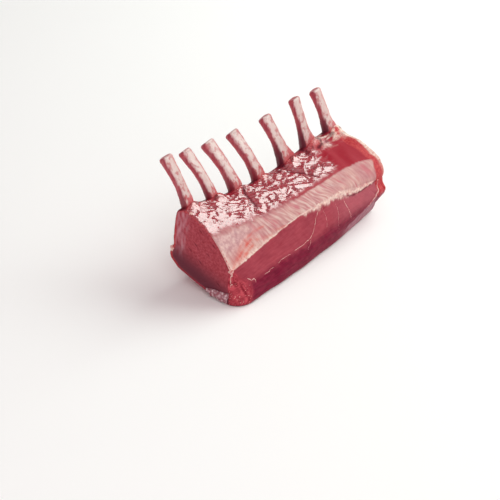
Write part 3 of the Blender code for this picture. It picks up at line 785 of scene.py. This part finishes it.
def raw_lamb():
    """Trimmed raw lamb: red muscle, pearly silverskin and cream fat, all wet."""
    material, tree, place = new_tree("raw_lamb_wet_cut")
    flow_place = add(tree, "ShaderNodeAttribute", {"attribute_name": "flow"}, take="Vector")
    clouds = speckle(tree, place, 60.0, 3.0)
    bundles = speckle(tree, place, 620.0, 3.0)
    across = add(tree, "ShaderNodeMapping", inputs={"Vector": flow_place, "Scale": (430, 110, 1)})
    pearl = speckle(tree, across, 1.0, 7.0)
    along = add(tree, "ShaderNodeMapping", inputs={"Vector": flow_place, "Scale": (1, 700, 110)})
    strands = speckle(tree, along, 1.0, 4.0)

    # Muscle: cloudy red with fibres, dusty towards the far end, magenta and lilac below.
    colour = between_colours(tree, clouds, (0.35, "#92303f"), (0.65, "#a83f4c"))
    fibre = between_colours(tree, strands, (0.3, "#84222f"), (0.7, "#b04a55"))
    colour = layer(tree, 0.35, colour, fibre)
    bands = between_colours(tree, value(tree, "fibres"), (0.2, "#7c1c2c"), (0.8, "#c05a64"))
    colour = layer(tree, 0.16, colour, bands)
    dusty = mapped(tree, value(tree, "calm"), 0.05, 0.34)
    colour = layer(tree, dusty, colour, linear("#bf707a"))
    deep = between_colours(tree, strands, (0.3, "#5a0624"), (0.7, "#840d34"))
    deep = layer(tree, 0.12, deep, bands)
    colour = laid_over(tree, colour, ("magenta", deep), ("lilac", "#a5707c"))

    # The cut faces: bundles end on, with darker lines drawn by the knife.
    face = between_colours(tree, bundles, (0.3, "#96353f"), (0.7, "#b5505a"))
    drawn = add(tree, "ShaderNodeMapping", {"vector_type": "TEXTURE"}, {
        "Vector": place, "Rotation": (-SLIT_TURN, 0, 0), "Scale": (0.05, 0.011, 0.0012)})
    lines = speckle(tree, drawn, 1.0, 3.0)
    lines = between_colours(tree, lines, (0.54, "#000000"), (0.72, "#b0b0b0"))
    face = layer(tree, lines, face, linear("#7a2531"))
    # On the near face: a painted sheen, lighter and greyer, on the band beside the ribs, and painted
    # shade towards the bottom.
    face = laid_over(tree, face, ("painted_sheen", "#c07f89"), ("painted_shade_low", "#6a303c"))

    # The flecked corner, the cap, its crinkled part and the film round the rib feet.
    red = between_colours(tree, value(tree, "rays"), (0.25, "#8a2432"), (0.75, "#c8515c"))
    wet = between_colours(tree, bundles, (0.35, "#8e1828"), (0.65, "#b62e3d"))
    flesh = between_colours(tree, bundles, (0.3, "#b02634"), (0.7, "#cf5450"))
    colour = laid_over(tree, colour, ("cut", face), ("corner", red), ("cap", "#a32433"),
                       ("crinkled", wet), ("film", flesh))

    # Silverskin: pearly streaks, calmer at the far end, netted and bloody at the near tip.
    mottled = between_colours(tree, clouds, (0.35, "#bb7d81"), (0.65, "#d0a39b"))
    skin = between_colours(tree, pearl, (0.34, "#b36c71"), (0.50, "#d09e98"), (0.64, "#e6cdc2"))
    skin = layer(tree, mapped(tree, value(tree, "calm"), 0.45, 0.8), skin, mottled)
    netted = speckle(tree, place, 300.0, 7.0)
    greyish = between_colours(tree, netted, (0.32, "#b8858a"), (0.50, "#cda09e"), (0.68, "#dfbdb7"))
    # The darker red on the pleats is painted shade in the folds.
    skin = laid_over(tree, skin, ("veil", greyish), ("blood", "#d0584f"), ("pleats", "#c4747a"))
    dots = speckle(tree, place, 1300.0, 1.0)
    dots = between_colours(tree, dots, (0.55, "#000000"), (0.70, "#787878"))
    skin = layer(tree, dots, skin, linear("#c2716f"))

    # Fat, and painted shade in hollows, folds, crevices and slits, lie over everything.
    cream = between_colours(tree, bundles, (0.33, "#dda196"), (0.55, "#efd6ca"))
    colour = laid_over(tree, colour, ("silverskin", skin), ("fat", cream), ("painted_shade", "#561624"))

    def by_wetness(dry, drenched):
        """A value between the one for dry meat and the one for the wet film."""
        return mapped(tree, value(tree, "wet"), dry, drenched)

    grain = speckle(tree, place, 900.0, 3.0)
    bump = add(tree, "ShaderNodeBump", inputs={
        "Height": grain, "Strength": by_wetness(0.35, 0.06), "Distance": 0.0004})
    return shaded(material, {
        "Base Color": colour,
        "Roughness": by_wetness(0.48, 0.09),
        "Specular IOR Level": by_wetness(0.06, 1.0),
        "Normal": bump,
        "IOR": by_wetness(1.45, 1.70),
        "Specular Tint": layer(tree, value(tree, "painted_shade"), linear("#ffffff"), linear("#8a2c38")),
        "Subsurface Weight": 0.10,
        "Subsurface Radius": (1.0, 0.35, 0.25),
        "Subsurface Scale": 0.0015,
    })


loin.data.materials.append(raw_lamb())
print("finish:", loin.data.materials[0].name, len(loin.data.materials[0].node_tree.nodes), "nodes")

# %% [markdown]
# ## The rib bones
#
# All seven bones follow one rule: a path, and a rounded section that goes along it, thicker where
# it leaves the meat, flat towards the tip, and sawn off square. That is work for Geometry Nodes.
# The script only lays out the paths, with the section's size and its two directions at every
# point. The tree sweeps a circle along them, squares it, and roughens the surface.

# %% Paths of the ribs
RIB_SLANT, BACK_SLANT = 6.0 * MM, 2.4 * MM
FOOT_SECTION, TIP_SECTION = np.array((9.2, 8.2)) * MM, np.array((11.0, 6.4)) * MM
FLATTENS_OVER, RIB_PROUD, ROOT_DROP = 0.7, 0.9 * MM, 1.5 * MM
TIP_FLARE, TIP_STRETCH = 0.14, 0.22
FOOT_SWELL, FOOT_AT, FOOT_STRETCH = 0.10, 0.56, 0.09
WEB_AT, WEB_FADE, WEB_END = 0.51, 0.15, 0.07
RIB_POINTS = 96
# The sawn end: how far below the tip each ring lies in mm, its size, and how much it is marrow.
SAWN_END = ((2.2, 1.0, 0), (1.2, 0.96, 0), (0.55, 0.89, 0), (0.15, 0.79, 0), (0.0, 0.66, 0.1),
            (0.0, 0.56, 0.5), (0.0, 0.46, 0.8), (0.0, 0.3, 1), (0.0, 0.15, 1), (0.0, 0.05, 1))


def rib_knots(rib):
    """The places that a rib passes, from its root low on the back to its tip."""
    (foot_x, foot_y, foot_z), (tip_y, tip_z), girth = rib[:3]
    buried = FOOT_SECTION[1] * girth / 2 - RIB_PROUD
    knots = []
    for name, lean in (("back_lower", 1.0), ("back_middle", 0.75), ("back_upper", 0.35)):
        at = foot_x * MM + BACK_SLANT * lean
        y, z = landmarks_at(at)[0, NAMES.index(name)]
        knots.append((at, y - buried, z - ROOT_DROP * (name == "back_lower")))
    foot = np.array((foot_x, foot_y, foot_z)) * MM
    tip = np.array((foot_x * MM - RIB_SLANT, tip_y * MM, tip_z * MM))
    knots.append(foot)
    for share, lean in ((0.3, 0.16), (0.62, 0.47)):
        point = foot + (tip - foot) * share
        point[1] = foot[1] + (tip[1] - foot[1]) * lean
        knots.append(point)
    return np.array([*knots, tip])


def smooth_path(knots, count):
    """count points along the smooth curve through knots."""
    padded = np.vstack((2 * knots[0] - knots[1], knots, 2 * knots[-1] - knots[-2]))
    points = []
    for turn_at in np.linspace(1, len(knots), count):
        first = min(int(turn_at), len(knots) - 1)
        share = turn_at - first
        before, start, end, after = padded[first - 1 : first + 3]
        ease = share * share * (3 - 2 * share)
        curve = start * (1 - ease) + end * ease
        curve += (end - before) / 2 * share * (1 - share) ** 2
        points.append(curve - (after - start) / 2 * share**2 * (1 - share))
    return np.array(points)


def rib_rings(rib):
    """One dictionary of values for every ring of a rib."""
    _, _, girth, tip_flare, _, web = rib
    path = smooth_path(rib_knots(rib), RIB_POINTS)
    tangents = np.gradient(path, axis=0)
    tangents /= np.linalg.norm(tangents, axis=1)[:, None]
    rings = []
    for i, (centre, tangent) in enumerate(zip(path, tangents)):
        share = i / (len(path) - 1)
        flare = TIP_FLARE * tip_flare * max(0.0, (share - 1) / TIP_STRETCH + 1) ** 1.5
        swell = FOOT_SWELL * math.exp(-(((share - FOOT_AT) / FOOT_STRETCH) ** 2))
        flat = min(1.0, max(0.0, (share - FOOT_AT) / (1 - FOOT_AT) / FLATTENS_OVER))
        size = (FOOT_SECTION * (1 - flat) + TIP_SECTION * flat) * girth * (1 + flare + swell)
        fading = math.exp(-(share - WEB_AT) / WEB_FADE)
        reach = web * MM * (fading if share >= WEB_AT else max(0.0, 1 - (WEB_AT - share) / WEB_END))
        half = np.array((*size / 2, reach))
        side = np.array((1.0, 0.0, 0.0)) - tangent * tangent[0]
        side /= np.linalg.norm(side)
        # Painted shade for the near side's hollow, strongest on the ribs with wide webs.
        shadow = ramp(share, 0.86, 0.60) if web > 5 else 0.7 * ramp(share, 0.78, 0.55)
        ring = {"side": side, "deep": np.cross(tangent, side), "share": share, "painted_hollow_shade": float(shadow)}
        if i < len(path) - 1:
            if np.linalg.norm(path[-1] - centre) > SAWN_END[0][0] * MM:
                rings.append({**ring, "centre": centre, "half": half, "marrow": 0.0})
            continue
        for below, scale, marrow in SAWN_END:
            low = centre - tangent * below * MM
            rings.append({**ring, "centre": low, "half": half * scale, "marrow": float(marrow)})
    return rings


rib_lines = [rib_rings(rib) for rib in RIBS]
print("rings per rib:", len(rib_lines[0]))

# %% [markdown]
# The tree sweeps the section. The attributes of the path travel with it through Curve to Mesh, so
# each point of the swept tube knows its ring's middle, directions and half sizes, and its own
# angle on the circle. A point is then put at the superellipse of that angle.

# %% A swept section by Geometry Nodes
def sweep_tree():
    """Sweeps a squared circle along every path, from the values kept on the path's points."""
    tree = bpy.data.node_groups.new("swept_section", "GeometryNodeTree")
    face = tree.interface
    face.new_socket("Paths", in_out="INPUT", socket_type="NodeSocketGeometry")
    numbers = {"Sides": 40, "Squareness": 2.6, "Lumps": 0.5 * MM, "Lump scale": 260.0}
    for name, default in numbers.items():
        kind = "NodeSocketInt" if name == "Sides" else "NodeSocketFloat"
        face.new_socket(name, in_out="INPUT", socket_type=kind).default_value = default
    face.new_socket("Finish", in_out="INPUT", socket_type="NodeSocketMaterial")
    face.new_socket("Swept", in_out="OUTPUT", socket_type="NodeSocketGeometry")
    given = tree.nodes.new("NodeGroupInput").outputs

    def kept(name, kind="FLOAT_VECTOR"):
        """A value that was kept on the points of the path or of the circle."""
        return add(tree, "GeometryNodeInputNamedAttribute", {"data_type": kind}, {"Name": name})

    circle = add(tree, "GeometryNodeCurvePrimitiveCircle", inputs={
        "Resolution": given["Sides"], "Radius": 1.0})
    along = add(tree, "GeometryNodeSplineParameter", take="Factor")
    storing = {"data_type": "FLOAT", "domain": "POINT"}
    circle = add(tree, "GeometryNodeStoreNamedAttribute", storing, {
        "Geometry": circle, "Name": "angle", "Value": maths(tree, "MULTIPLY", along, 2 * math.pi)})
    curves = add(tree, "GeometryNodeMeshToCurve", inputs={"Mesh": given["Paths"]})
    tube = add(tree, "GeometryNodeCurveToMesh", inputs={
        "Curve": curves, "Profile Curve": circle, "Fill Caps": True})
    power = maths(tree, "DIVIDE", 2.0, given["Squareness"])
    halves = add(tree, "ShaderNodeSeparateXYZ", inputs={0: kept("half")}, take="X").node.outputs
    cosine = maths(tree, "COSINE", kept("angle", "FLOAT"))
    sine = maths(tree, "SINE", kept("angle", "FLOAT"))
    web = maths(tree, "MULTIPLY", halves["Z"], maths(tree, "GREATER_THAN", cosine, 0.0))
    reach = kept("centre")
    for wave, half, direction in (
        (cosine, maths(tree, "ADD", halves["X"], web), "side"),
        (sine, halves["Y"], "deep"),
    ):
        size = maths(tree, "POWER", maths(tree, "ABSOLUTE", wave), power)
        size = maths(tree, "MULTIPLY", size, maths(tree, "SIGN", wave))
        size = maths(tree, "MULTIPLY", size, half)
        step = add(tree, "ShaderNodeVectorMath", {"operation": "SCALE"}, {
            0: kept(direction), "Scale": size})
        reach = add(tree, "ShaderNodeVectorMath", {"operation": "ADD"}, {0: reach, 1: step})
    tube = add(tree, "GeometryNodeSetPosition", inputs={"Geometry": tube, "Position": reach})
    bumpy = add(tree, "ShaderNodeTexNoise", inputs={"Scale": given["Lump scale"], "Detail": 3.0})
    bumpy = maths(tree, "MULTIPLY", maths(tree, "SUBTRACT", bumpy, 0.5), given["Lumps"])
    normal = add(tree, "GeometryNodeInputNormal")
    lift = add(tree, "ShaderNodeVectorMath", {"operation": "SCALE"}, {0: normal, "Scale": bumpy})
    tube = add(tree, "GeometryNodeSetPosition", inputs={"Geometry": tube, "Offset": lift})
    tube = add(tree, "GeometryNodeRealizeInstances", inputs={0: tube})
    tube = add(tree, "GeometryNodeSetMaterial", inputs={"Geometry": tube, "Material": given["Finish"]})
    add(tree, "NodeGroupOutput", inputs={"Swept": tube})
    return tree


sweep = sweep_tree()
print("tree made:", sweep.name)


# %% Run a tree and keep its result as a plain mesh
def grown(name, paths, tree, values):
    """Runs a tree on an object of paths and returns the result as a plain mesh object."""
    modifier = paths.modifiers.new(tree.name, "NODES")
    modifier.node_group = tree
    for socket in tree.interface.items_tree:
        if socket.in_out == "INPUT" and socket.name in values:
            modifier[socket.identifier] = values[socket.name]
    bpy.context.view_layer.update()
    ready = paths.evaluated_get(bpy.context.evaluated_depsgraph_get())
    data = bpy.data.meshes.new_from_object(ready)
    paths.modifiers.remove(modifier)
    bpy.data.objects.remove(paths)
    data.name = name
    data.shade_smooth()
    made = bpy.data.objects.new(name, data)
    bpy.context.scene.collection.objects.link(made)
    return made


def path_object(name, lines):
    """Poly lines in one mesh object. Each point's values become attributes."""
    rings = [ring for line in lines for ring in line]
    kept = {key: np.array([ring[key] for ring in rings], float) for key in rings[0]}
    edges, start = [], 0
    for line in lines:
        edges += [(start + i, start + i + 1) for i in range(len(line) - 1)]
        start += len(line)
    places = kept["centre"]
    kept["centre"] = places + np.array(CARRIED)
    return mesh_object(name, places, [], kept, edges)


# %% [markdown]
# ## Scraped bone
#
# A fresh rib is pale pink bone under a damp skin. The knife cleans the flat outer face, and dark
# red traces stay on the near side. Painted shade darkens the near side of the foot, in the
# hollow towards the meat. The sawn tip shows the duller red of the marrow. The angle round the
# bone, kept by the tree, says which face a point is on.

# %% Finish of the bones
def scraped_bone():
    """Damp rib bone with dark red traces on the sides that the knife didn't clean, and painted shade
    in the hollow of its near side.
    """
    material, tree, place = new_tree("scraped_rib_bone")
    stretched = add(tree, "ShaderNodeMapping", inputs={"Vector": place, "Scale": (420, 420, 90)})
    stains = speckle(tree, stretched, 1.0, 5.0)
    wobble = mapped(tree, stains, -0.035, 0.035, 0.3, 0.7)
    turned = maths(tree, "MULTIPLY_ADD", value(tree, "angle"), 1 / (2 * math.pi), wobble)
    colour = between_colours(
        tree, turned, (0.0, "#c4706f"), (0.10, "#dba9a5"), (0.30, "#dfb8b3"), (0.37, "#c24a55"),
        (0.45, "#c04955"), (0.50, "#a83a49"), (0.59, "#9c3040"), (0.625, "#c78f92"), (0.66, "#dcc3be"),
        (0.79, "#d2b4af"), (0.87, "#c87370"), (1.0, "#c4706f"))
    streaked = between_colours(tree, stains, (0.48, "#000000"), (0.66, "#8a8a8a"))
    colour = layer(tree, streaked, colour, linear("#cf9090"))
    blotches = speckle(tree, place, 230.0, 5.0)
    blotches = between_colours(tree, blotches, (0.52, "#000000"), (0.62, "#d0d0d0"))
    colour = layer(tree, blotches, colour, linear("#b54c53"))

    def between(low, high, of):
        """A share that goes from 0 at low to 1 at high."""
        return mapped(tree, of, 0.0, 1.0, low, high)

    def times(one, other):
        """Two shares multiplied."""
        return maths(tree, "MULTIPLY", one, other)

    share = value(tree, "share")
    ragged_share = maths(tree, "MULTIPLY_ADD", wobble, 2.5, share)
    at_foot = times(between(0.64, 0.57, ragged_share), between(0.34, 0.46, share))
    colour = layer(tree, times(at_foot, 0.85), colour, linear("#bb3640"))
    wider = maths(tree, "MULTIPLY_ADD", value(tree, "painted_hollow_shade"), -0.07, turned)
    near_side = times(between(0.63, 0.56, wider), between(0.30, 0.40, turned))
    # Painted shade on the near side of each rib foot, in the hollow towards the meat.
    colour = layer(tree, times(near_side, value(tree, "painted_hollow_shade")), colour, linear("#66202f"))
    colour = layer(tree, times(between(0.46, 0.34, share), 0.6), colour, linear("#c07f7c"))
    colour = layer(tree, value(tree, "marrow"), colour, linear("#bf6468"))
    bump = add(tree, "ShaderNodeBump", inputs={"Height": stains, "Strength": 0.3, "Distance": 0.0004})
    return shaded(material, {
        "Base Color": colour,
        "Roughness": 0.35,
        "Normal": bump,
        "IOR": 1.45,
        "Subsurface Weight": 0.1,
        "Subsurface Radius": (1.0, 0.5, 0.4),
        "Subsurface Scale": 0.0015,
    })


bone = scraped_bone()
ribs = grown("rib_bones", path_object("rib_paths", rib_lines), sweep, {
    "Finish": bone, "Lumps": 1.1 * MM, "Lump scale": 190.0})
print("ribs:", len(ribs.data.polygons), "faces, finish", [m.name for m in ribs.data.materials])

# %% [markdown]
# ## Threads and cut membranes
#
# Threads of connective tissue run over the front muscle, and where the knife went through the
# silverskin its edge stands up as a pale line along the near face. They are thin and follow the
# surface, so they are swept by the same tree, along paths of places on the loft.

# %% Threads
# Each thread: thickness in mm, then its path as (mm along, turn).
THREADS = (
    (0.50, ((106, 2.70), (99, 2.45), (90, 2.0), (75, 1.88), (66, 1.90))),
    (0.35, ((62, 1.86), (54, 1.90), (46, 1.84))),
    (0.45, ((41, 1.80), (35, 1.74), (29, 1.70))),
    (0.25, ((90, 2.0), (88, 1.7), (84, 1.5))),
    (0.65, ((11, 2.12), (14.5, 1.90), (18, 1.85), (19, 1.6))),
    (0.40, ((137, 2.62), (140, 2.32), (144, 1.92), (147, 1.5))),
    (0.16, ((126, 2.6), (128, 2.3), (127, 1.8), (129, 1.3))),
    (0.14, ((109, 2.6), (112, 2.3), (111, 1.9))),
    (1.30, ((190.5, 2.9), (189.5, 2.6), (187, 2.25), (182, 1.92), (176, 1.66), (171, 1.5))),
    (1.20, ((0.4, 3.02), (0.3, 3.3), (0.3, 3.7), (0.3, 4.0), (0.3, 4.3))),
    (1.50, ((0.9, 3.05), (0.4, 2.92), (0.3, 2.75), (0.6, 2.6), (0.3, 2.4))),
    (0.70, ((0.5, 2.5), (0.2, 2.2), (0.5, 1.95), (0.2, 1.7))),
)
THREAD_STEP = 0.8 * MM


def on_loin(at_x, at_turn):
    """The place on the fine surface at a distance along and a turn, and its normal."""
    row = np.interp(at_x * MM, X, np.arange(len(X)))
    column = np.interp(at_turn, TURN, np.arange(len(TURN)))
    i, j = int(round(row)), int(round(column))
    return skin_points[i, j], normals[i, j]


def thread_rings(thick, path):
    """Rings along a thread, thin at both ends and half sunk into the surface."""
    dense = smooth_path(np.array(path, float), 12 * len(path))
    found = [on_loin(*spot) for spot in dense]
    places = smooth_path(np.array([place for place, _ in found])[::3], 6 * len(path))
    outward = smooth_path(np.array([normal for _, normal in found])[::3], 6 * len(path))
    tangents = np.gradient(places, axis=0)
    tangents /= np.linalg.norm(tangents, axis=1)[:, None]
    rings = []
    for i, (place, tangent, normal) in enumerate(zip(places, tangents, outward)):
        share = i / (len(places) - 1)
        size = thick * MM / 2 * (0.35 + 0.65 * math.sin(math.pi * share) ** 0.5)
        side = np.cross(tangent, normal)
        side /= np.linalg.norm(side)
        rings.append({"centre": place + normal * 0.15 * size, "side": side,
                      "deep": np.cross(tangent, side), "half": np.array((size, size * 0.8, 0.0))})
    return rings


def mottled_trim(name, scale, detail, *stops):
    """Membrane or fat: damp, and mottled by noise between stops of (position, hex colour)."""
    material, tree, place = new_tree(name)
    colour = between_colours(tree, speckle(tree, place, scale, detail), *stops)
    return shaded(material, {"Base Color": colour, "Roughness": 0.3, "IOR": 1.4})


pink_membrane = mottled_trim(
    "pale_pink_membrane", 500.0, 3.0, (0.38, "#c4626a"), (0.60, "#e6bab2"))
thread_lines = [thread_rings(thick, path) for thick, path in THREADS]
threads = grown("threads", path_object("thread_paths", thread_lines), sweep, {
    "Finish": pink_membrane, "Sides": 8, "Squareness": 2.0, "Lumps": 0.35 * MM, "Lump scale": 900.0})
print("threads:", len(threads.data.polygons), "faces")

# %% [markdown]
# ## Loose trim on the near face
#
# The knife left a ragged flap of membrane hanging at the bottom of the near face, and small nubs
# of fat on the tab of trim, on the cap's edge and at the tip of the silverskin. The flap is a
# thin sheet between two given lines, thickened to a closed body, with noise on its edges. A
# nub is a ball pushed out of shape by noise.

# %% Flap and nubs
FLAP_TOP = ((23.5, 6.2), (16.4, 8.2), (8.0, 8.6), (1.6, 10.2))
FLAP_BOTTOM = ((22.0, 4.2), (16.0, 2.6), (9.0, 1.4), (3.2, 1.6))
FLAP_THICK = 0.9 * MM
FLAP_ACROSS, FLAP_DOWN = 60, 14


def sheet(top, bottom):
    """A thin closed sheet in front of the near face between two lines of (y, z) in mm."""
    upper = smooth_path(np.array(top, float), FLAP_ACROSS) * MM
    lower = smooth_path(np.array(bottom, float), FLAP_ACROSS) * MM
    lower[:, 1] += 2.2 * MM * field(lower[:, 0] / (2.4 * MM), 0.0, 81.0)
    upper[:, 1] += 1.2 * MM * field(upper[:, 0] / (3.5 * MM), 0.0, 82.0)
    down = np.linspace(0, 1, FLAP_DOWN)[:, None, None]
    flat = upper * (1 - down) + lower * down
    bulge = 0.4 + 1.3 * np.sin(math.pi * down[..., 0] * 0.8) ** 0.7
    bulge = bulge + 0.5 * field(flat[..., 0] / (2.2 * MM), flat[..., 1] / (2 * MM), 83.0)
    edge = np.sin(math.pi * np.linspace(0.02, 0.98, FLAP_ACROSS)) ** 0.4
    edge = edge * np.sin(math.pi * np.linspace(0.10, 0.97, FLAP_DOWN))[:, None] ** 0.4
    outer = np.dstack((-bulge * MM - FLAP_THICK / 2 * edge, flat))
    inner = np.dstack((-bulge * MM + FLAP_THICK / 2 * edge, flat))
    points = np.vstack((outer.reshape(-1, 3), inner.reshape(-1, 3)))
    faces, half = [], FLAP_ACROSS * FLAP_DOWN
    for i in range(FLAP_DOWN - 1):
        for j in range(FLAP_ACROSS - 1):
            a = i * FLAP_ACROSS + j
            quad = (a, a + 1, a + FLAP_ACROSS + 1, a + FLAP_ACROSS)
            faces += [quad, tuple(half + k for k in reversed(quad))]
    rim = list(range(FLAP_ACROSS))
    rim += [i * FLAP_ACROSS + FLAP_ACROSS - 1 for i in range(1, FLAP_DOWN)]
    rim += [(FLAP_DOWN - 1) * FLAP_ACROSS + j for j in reversed(range(FLAP_ACROSS - 1))]
    rim += [i * FLAP_ACROSS for i in reversed(range(1, FLAP_DOWN - 1))]
    faces += [(a, half + a, half + b, b) for a, b in zip(rim, rim[1:] + rim[:1])]
    return points, faces


def facing_out(piece):
    """Turns a closed piece's faces outwards."""
    body = bmesh.new()
    body.from_mesh(piece.data)
    bmesh.ops.recalc_face_normals(body, faces=body.faces)
    body.to_mesh(piece.data)
    body.free()


flap = mesh_object("flap", *sheet(FLAP_TOP, FLAP_BOTTOM))
facing_out(flap)
flap.data.materials.append(mottled_trim(
    "lilac_membrane", 500.0, 3.0, (0.40, "#94505a"), (0.52, "#ae7c86"), (0.68, "#dcbcbe")))
# Each nub: its middle (x, y, z) and its three radii, in mm.
NUBS = (((0.4, 57.0, 27.6), (1.3, 1.6, 2.6)), ((1.2, 41.3, 62.0), (1.3, 1.5, 1.2)),
        ((1.4, 2.6, 28.4), (2.2, 1.5, 2.2)))


def nub(centre, radii, seed):
    """Points and faces of a ball in mm with radii of its own, pushed in and out by noise."""
    ball = bmesh.new()
    bmesh.ops.create_icosphere(ball, subdivisions=4, radius=1.0)
    points = np.array([vertex.co[:] for vertex in ball.verts])
    faces = [tuple(vertex.index for vertex in face.verts) for face in ball.faces]
    ball.free()
    swollen = 1 + 0.45 * field(points[:, 0] * 1.6, points[:, 1] * 1.6, points[:, 2] * 1.6 + seed)
    return (points * swollen[:, None] * radii + centre) * MM, faces


nub_points, nub_faces = [], []
for seed, (centre, radii) in enumerate(NUBS):
    points, faces = nub(centre, radii, 10.0 * seed)
    nub_faces += [tuple(len(nub_points) + i for i in face) for face in faces]
    nub_points += list(points)
nubs = mesh_object("fat_nubs", nub_points, nub_faces)
print("flap:", len(flap.data.polygons), "faces, nubs:", len(nubs.data.polygons))

# %% [markdown]
# ## Flecks of fat
#
# Crumbs of fat fleck the red corner beside the near face, the notch in the ridge, the crest
# round the rib feet and the patches of fat at its far end. They are scattered by Geometry Nodes
# where a mask says so: points on the loin's faces, a small flattened ball on each, turned to the
# surface and of random size.

# %% Scattered flecks
def fleck_tree():
    """Scatters flattened balls on the faces where the mask "flecked" is high."""
    tree = bpy.data.node_groups.new("fat_flecks", "GeometryNodeTree")
    face = tree.interface
    face.new_socket("Surface", in_out="INPUT", socket_type="NodeSocketGeometry")
    for name, default in (("Most per m2", 500000.0), ("Smallest", 0.25), ("Largest", 0.8)):
        face.new_socket(name, in_out="INPUT", socket_type="NodeSocketFloat").default_value = default
    face.new_socket("Finish", in_out="INPUT", socket_type="NodeSocketMaterial")
    face.new_socket("Flecks", in_out="OUTPUT", socket_type="NodeSocketGeometry")
    given = tree.nodes.new("NodeGroupInput").outputs
    mask = add(tree, "GeometryNodeInputNamedAttribute", {"data_type": "FLOAT"}, {"Name": "flecked"})
    density = maths(tree, "MULTIPLY", mask, given["Most per m2"])
    spots = add(tree, "GeometryNodeDistributePointsOnFaces", {"distribute_method": "RANDOM"}, {
        "Mesh": given["Surface"], "Density": density, "Seed": 4}, take="Points")
    turned = spots.node.outputs["Rotation"]
    ball = add(tree, "GeometryNodeMeshIcoSphere", inputs={"Radius": 0.5 * MM, "Subdivisions": 2})
    flat = add(tree, "GeometryNodeTransform", inputs={"Geometry": ball, "Scale": (1.0, 0.6, 0.35)})
    size = add(tree, "FunctionNodeRandomValue", {"data_type": "FLOAT"}, {
        "Min": given["Smallest"], "Max": given["Largest"], "Seed": 7}, take=1)
    placed = add(tree, "GeometryNodeInstanceOnPoints", inputs={
        "Points": spots, "Instance": flat, "Rotation": turned, "Scale": size})
    real = add(tree, "GeometryNodeRealizeInstances", inputs={0: placed})
    smooth = add(tree, "GeometryNodeSetShadeSmooth", inputs={0: real})
    done = add(tree, "GeometryNodeSetMaterial", inputs={
        "Geometry": smooth, "Material": given["Finish"]})
    add(tree, "NodeGroupOutput", inputs={"Flecks": done})
    return tree


flecked = corner * ramp(turn, 2.6, 0.6) * 0.5 + 0.45 * at_notch * hump(turn, 2.5, 3.5)
flecked = np.clip(flecked + 0.35 * film * ramp(turn, 6.6, 6.9) + 0.5 * patches, 0, 1)
ground = mesh_object("fleck_ground", all_points, loin_faces, {"flecked": over_all(flecked)})
cream_fat = mottled_trim("cream_fat", 400.0, 2.0, (0.42, "#cf6a68"), (0.6, "#e6c3b8"))
nubs.data.materials.append(cream_fat)
flecks = grown("fat_flecks", ground, fleck_tree(), {"Finish": cream_fat})
print("flecks:", len(flecks.data.polygons), "faces")

# %% [markdown]
# ## The floor and the light
#
# The rack lies on a plain pale floor in a white room with bright walls and a dimmer ceiling. One
# large soft light stands behind the far end, half way up. Its mirror image lies on the cap, and
# the wrinkles break it up. This light is slightly green and the room slightly pink. The two
# cancel out on the floor, and the reflections of the light on the red meat turn less pink. Two
# weaker lights lift the near face and the floor.

# %% Floor and lights
def soft_light(name, direction, distance, size, power, colour=(1.0, 1.0, 1.0)):
    """A rectangular light that looks at the rack's middle from a direction."""
    data = bpy.data.lights.new(name, "AREA")
    data.shape = "RECTANGLE"
    data.size, data.size_y = size
    data.energy = power
    data.color = colour
    made = bpy.data.objects.new(name, data)
    middle_of_rack = Vector((0.0, 0.0, 50 * MM))
    direction = Vector(direction).normalized()
    made.location = middle_of_rack + direction * distance
    made.rotation_euler = direction.to_track_quat("Z", "Y").to_euler()
    made.visible_camera = False
    bpy.context.scene.collection.objects.link(made)
    return made


soft_light("window", (0.71, -0.25, 0.62), 1.7, (1.85, 1.15), 30.0, (0.86, 1.0, 0.95))
soft_light("fill", (-0.8, -0.6, 0.6), 1.6, (1.2, 1.2), 8.0)
soft_light("ceiling", (-0.1, 0.1, 1.0), 1.8, (1.5, 1.5), 4.0)

world = bpy.data.worlds.new("white_room")
world.use_nodes = True
room = world.node_tree
up = add(room, "ShaderNodeTexCoord", take="Generated")
height = add(room, "ShaderNodeSeparateXYZ", inputs={0: up}, take="Z")
bright = mapped(room, height, 0.85, 0.30, 0.10, 0.35)
room.links.new(bright, room.nodes["Background"].inputs["Strength"])
room.nodes["Background"].inputs["Color"].default_value = (1.0, 0.94, 0.94, 1.0)
bpy.context.scene.world = world
bpy.context.scene.view_settings.view_transform = "Standard"

# Half the floor's side, and how far it lies below the rack, both in metres.
FLOOR_HALF, FLOOR_DROP = 4.0, 0.2 * MM
floor_mesh = bpy.data.meshes.new("floor")
corners = [(a * FLOOR_HALF, b * FLOOR_HALF, 0) for a, b in ((-1, -1), (1, -1), (1, 1), (-1, 1))]
floor_mesh.from_pydata(corners, [], [(0, 1, 2, 3)])
floor_mesh.transform(Matrix.Translation((0, 0, -FLOOR_DROP)))
floor = bpy.data.objects.new("floor", floor_mesh)
bpy.context.scene.collection.objects.link(floor)
floor_paint = bpy.data.materials.new("pale_matt_board")
floor_paint.use_nodes = True
floor_shader = floor_paint.node_tree.nodes["Principled BSDF"]
floor_shader.inputs["Base Color"].default_value = linear("#fff8f8")
floor_shader.inputs["Roughness"].default_value = 0.8
floor_mesh.materials.append(floor_paint)

# %% [markdown]
# ## Attach to the body
#
# Every piece rides on the one body, and the solids that the pieces replace are hidden.

# %% Ride and replace
for piece in (loin, threads, flap, nubs, flecks):
    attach(piece, "root")
    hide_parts("meat")
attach(ribs, "root")
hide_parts(*[f"rib_{number}" for number in range(1, len(RIBS) + 1)])
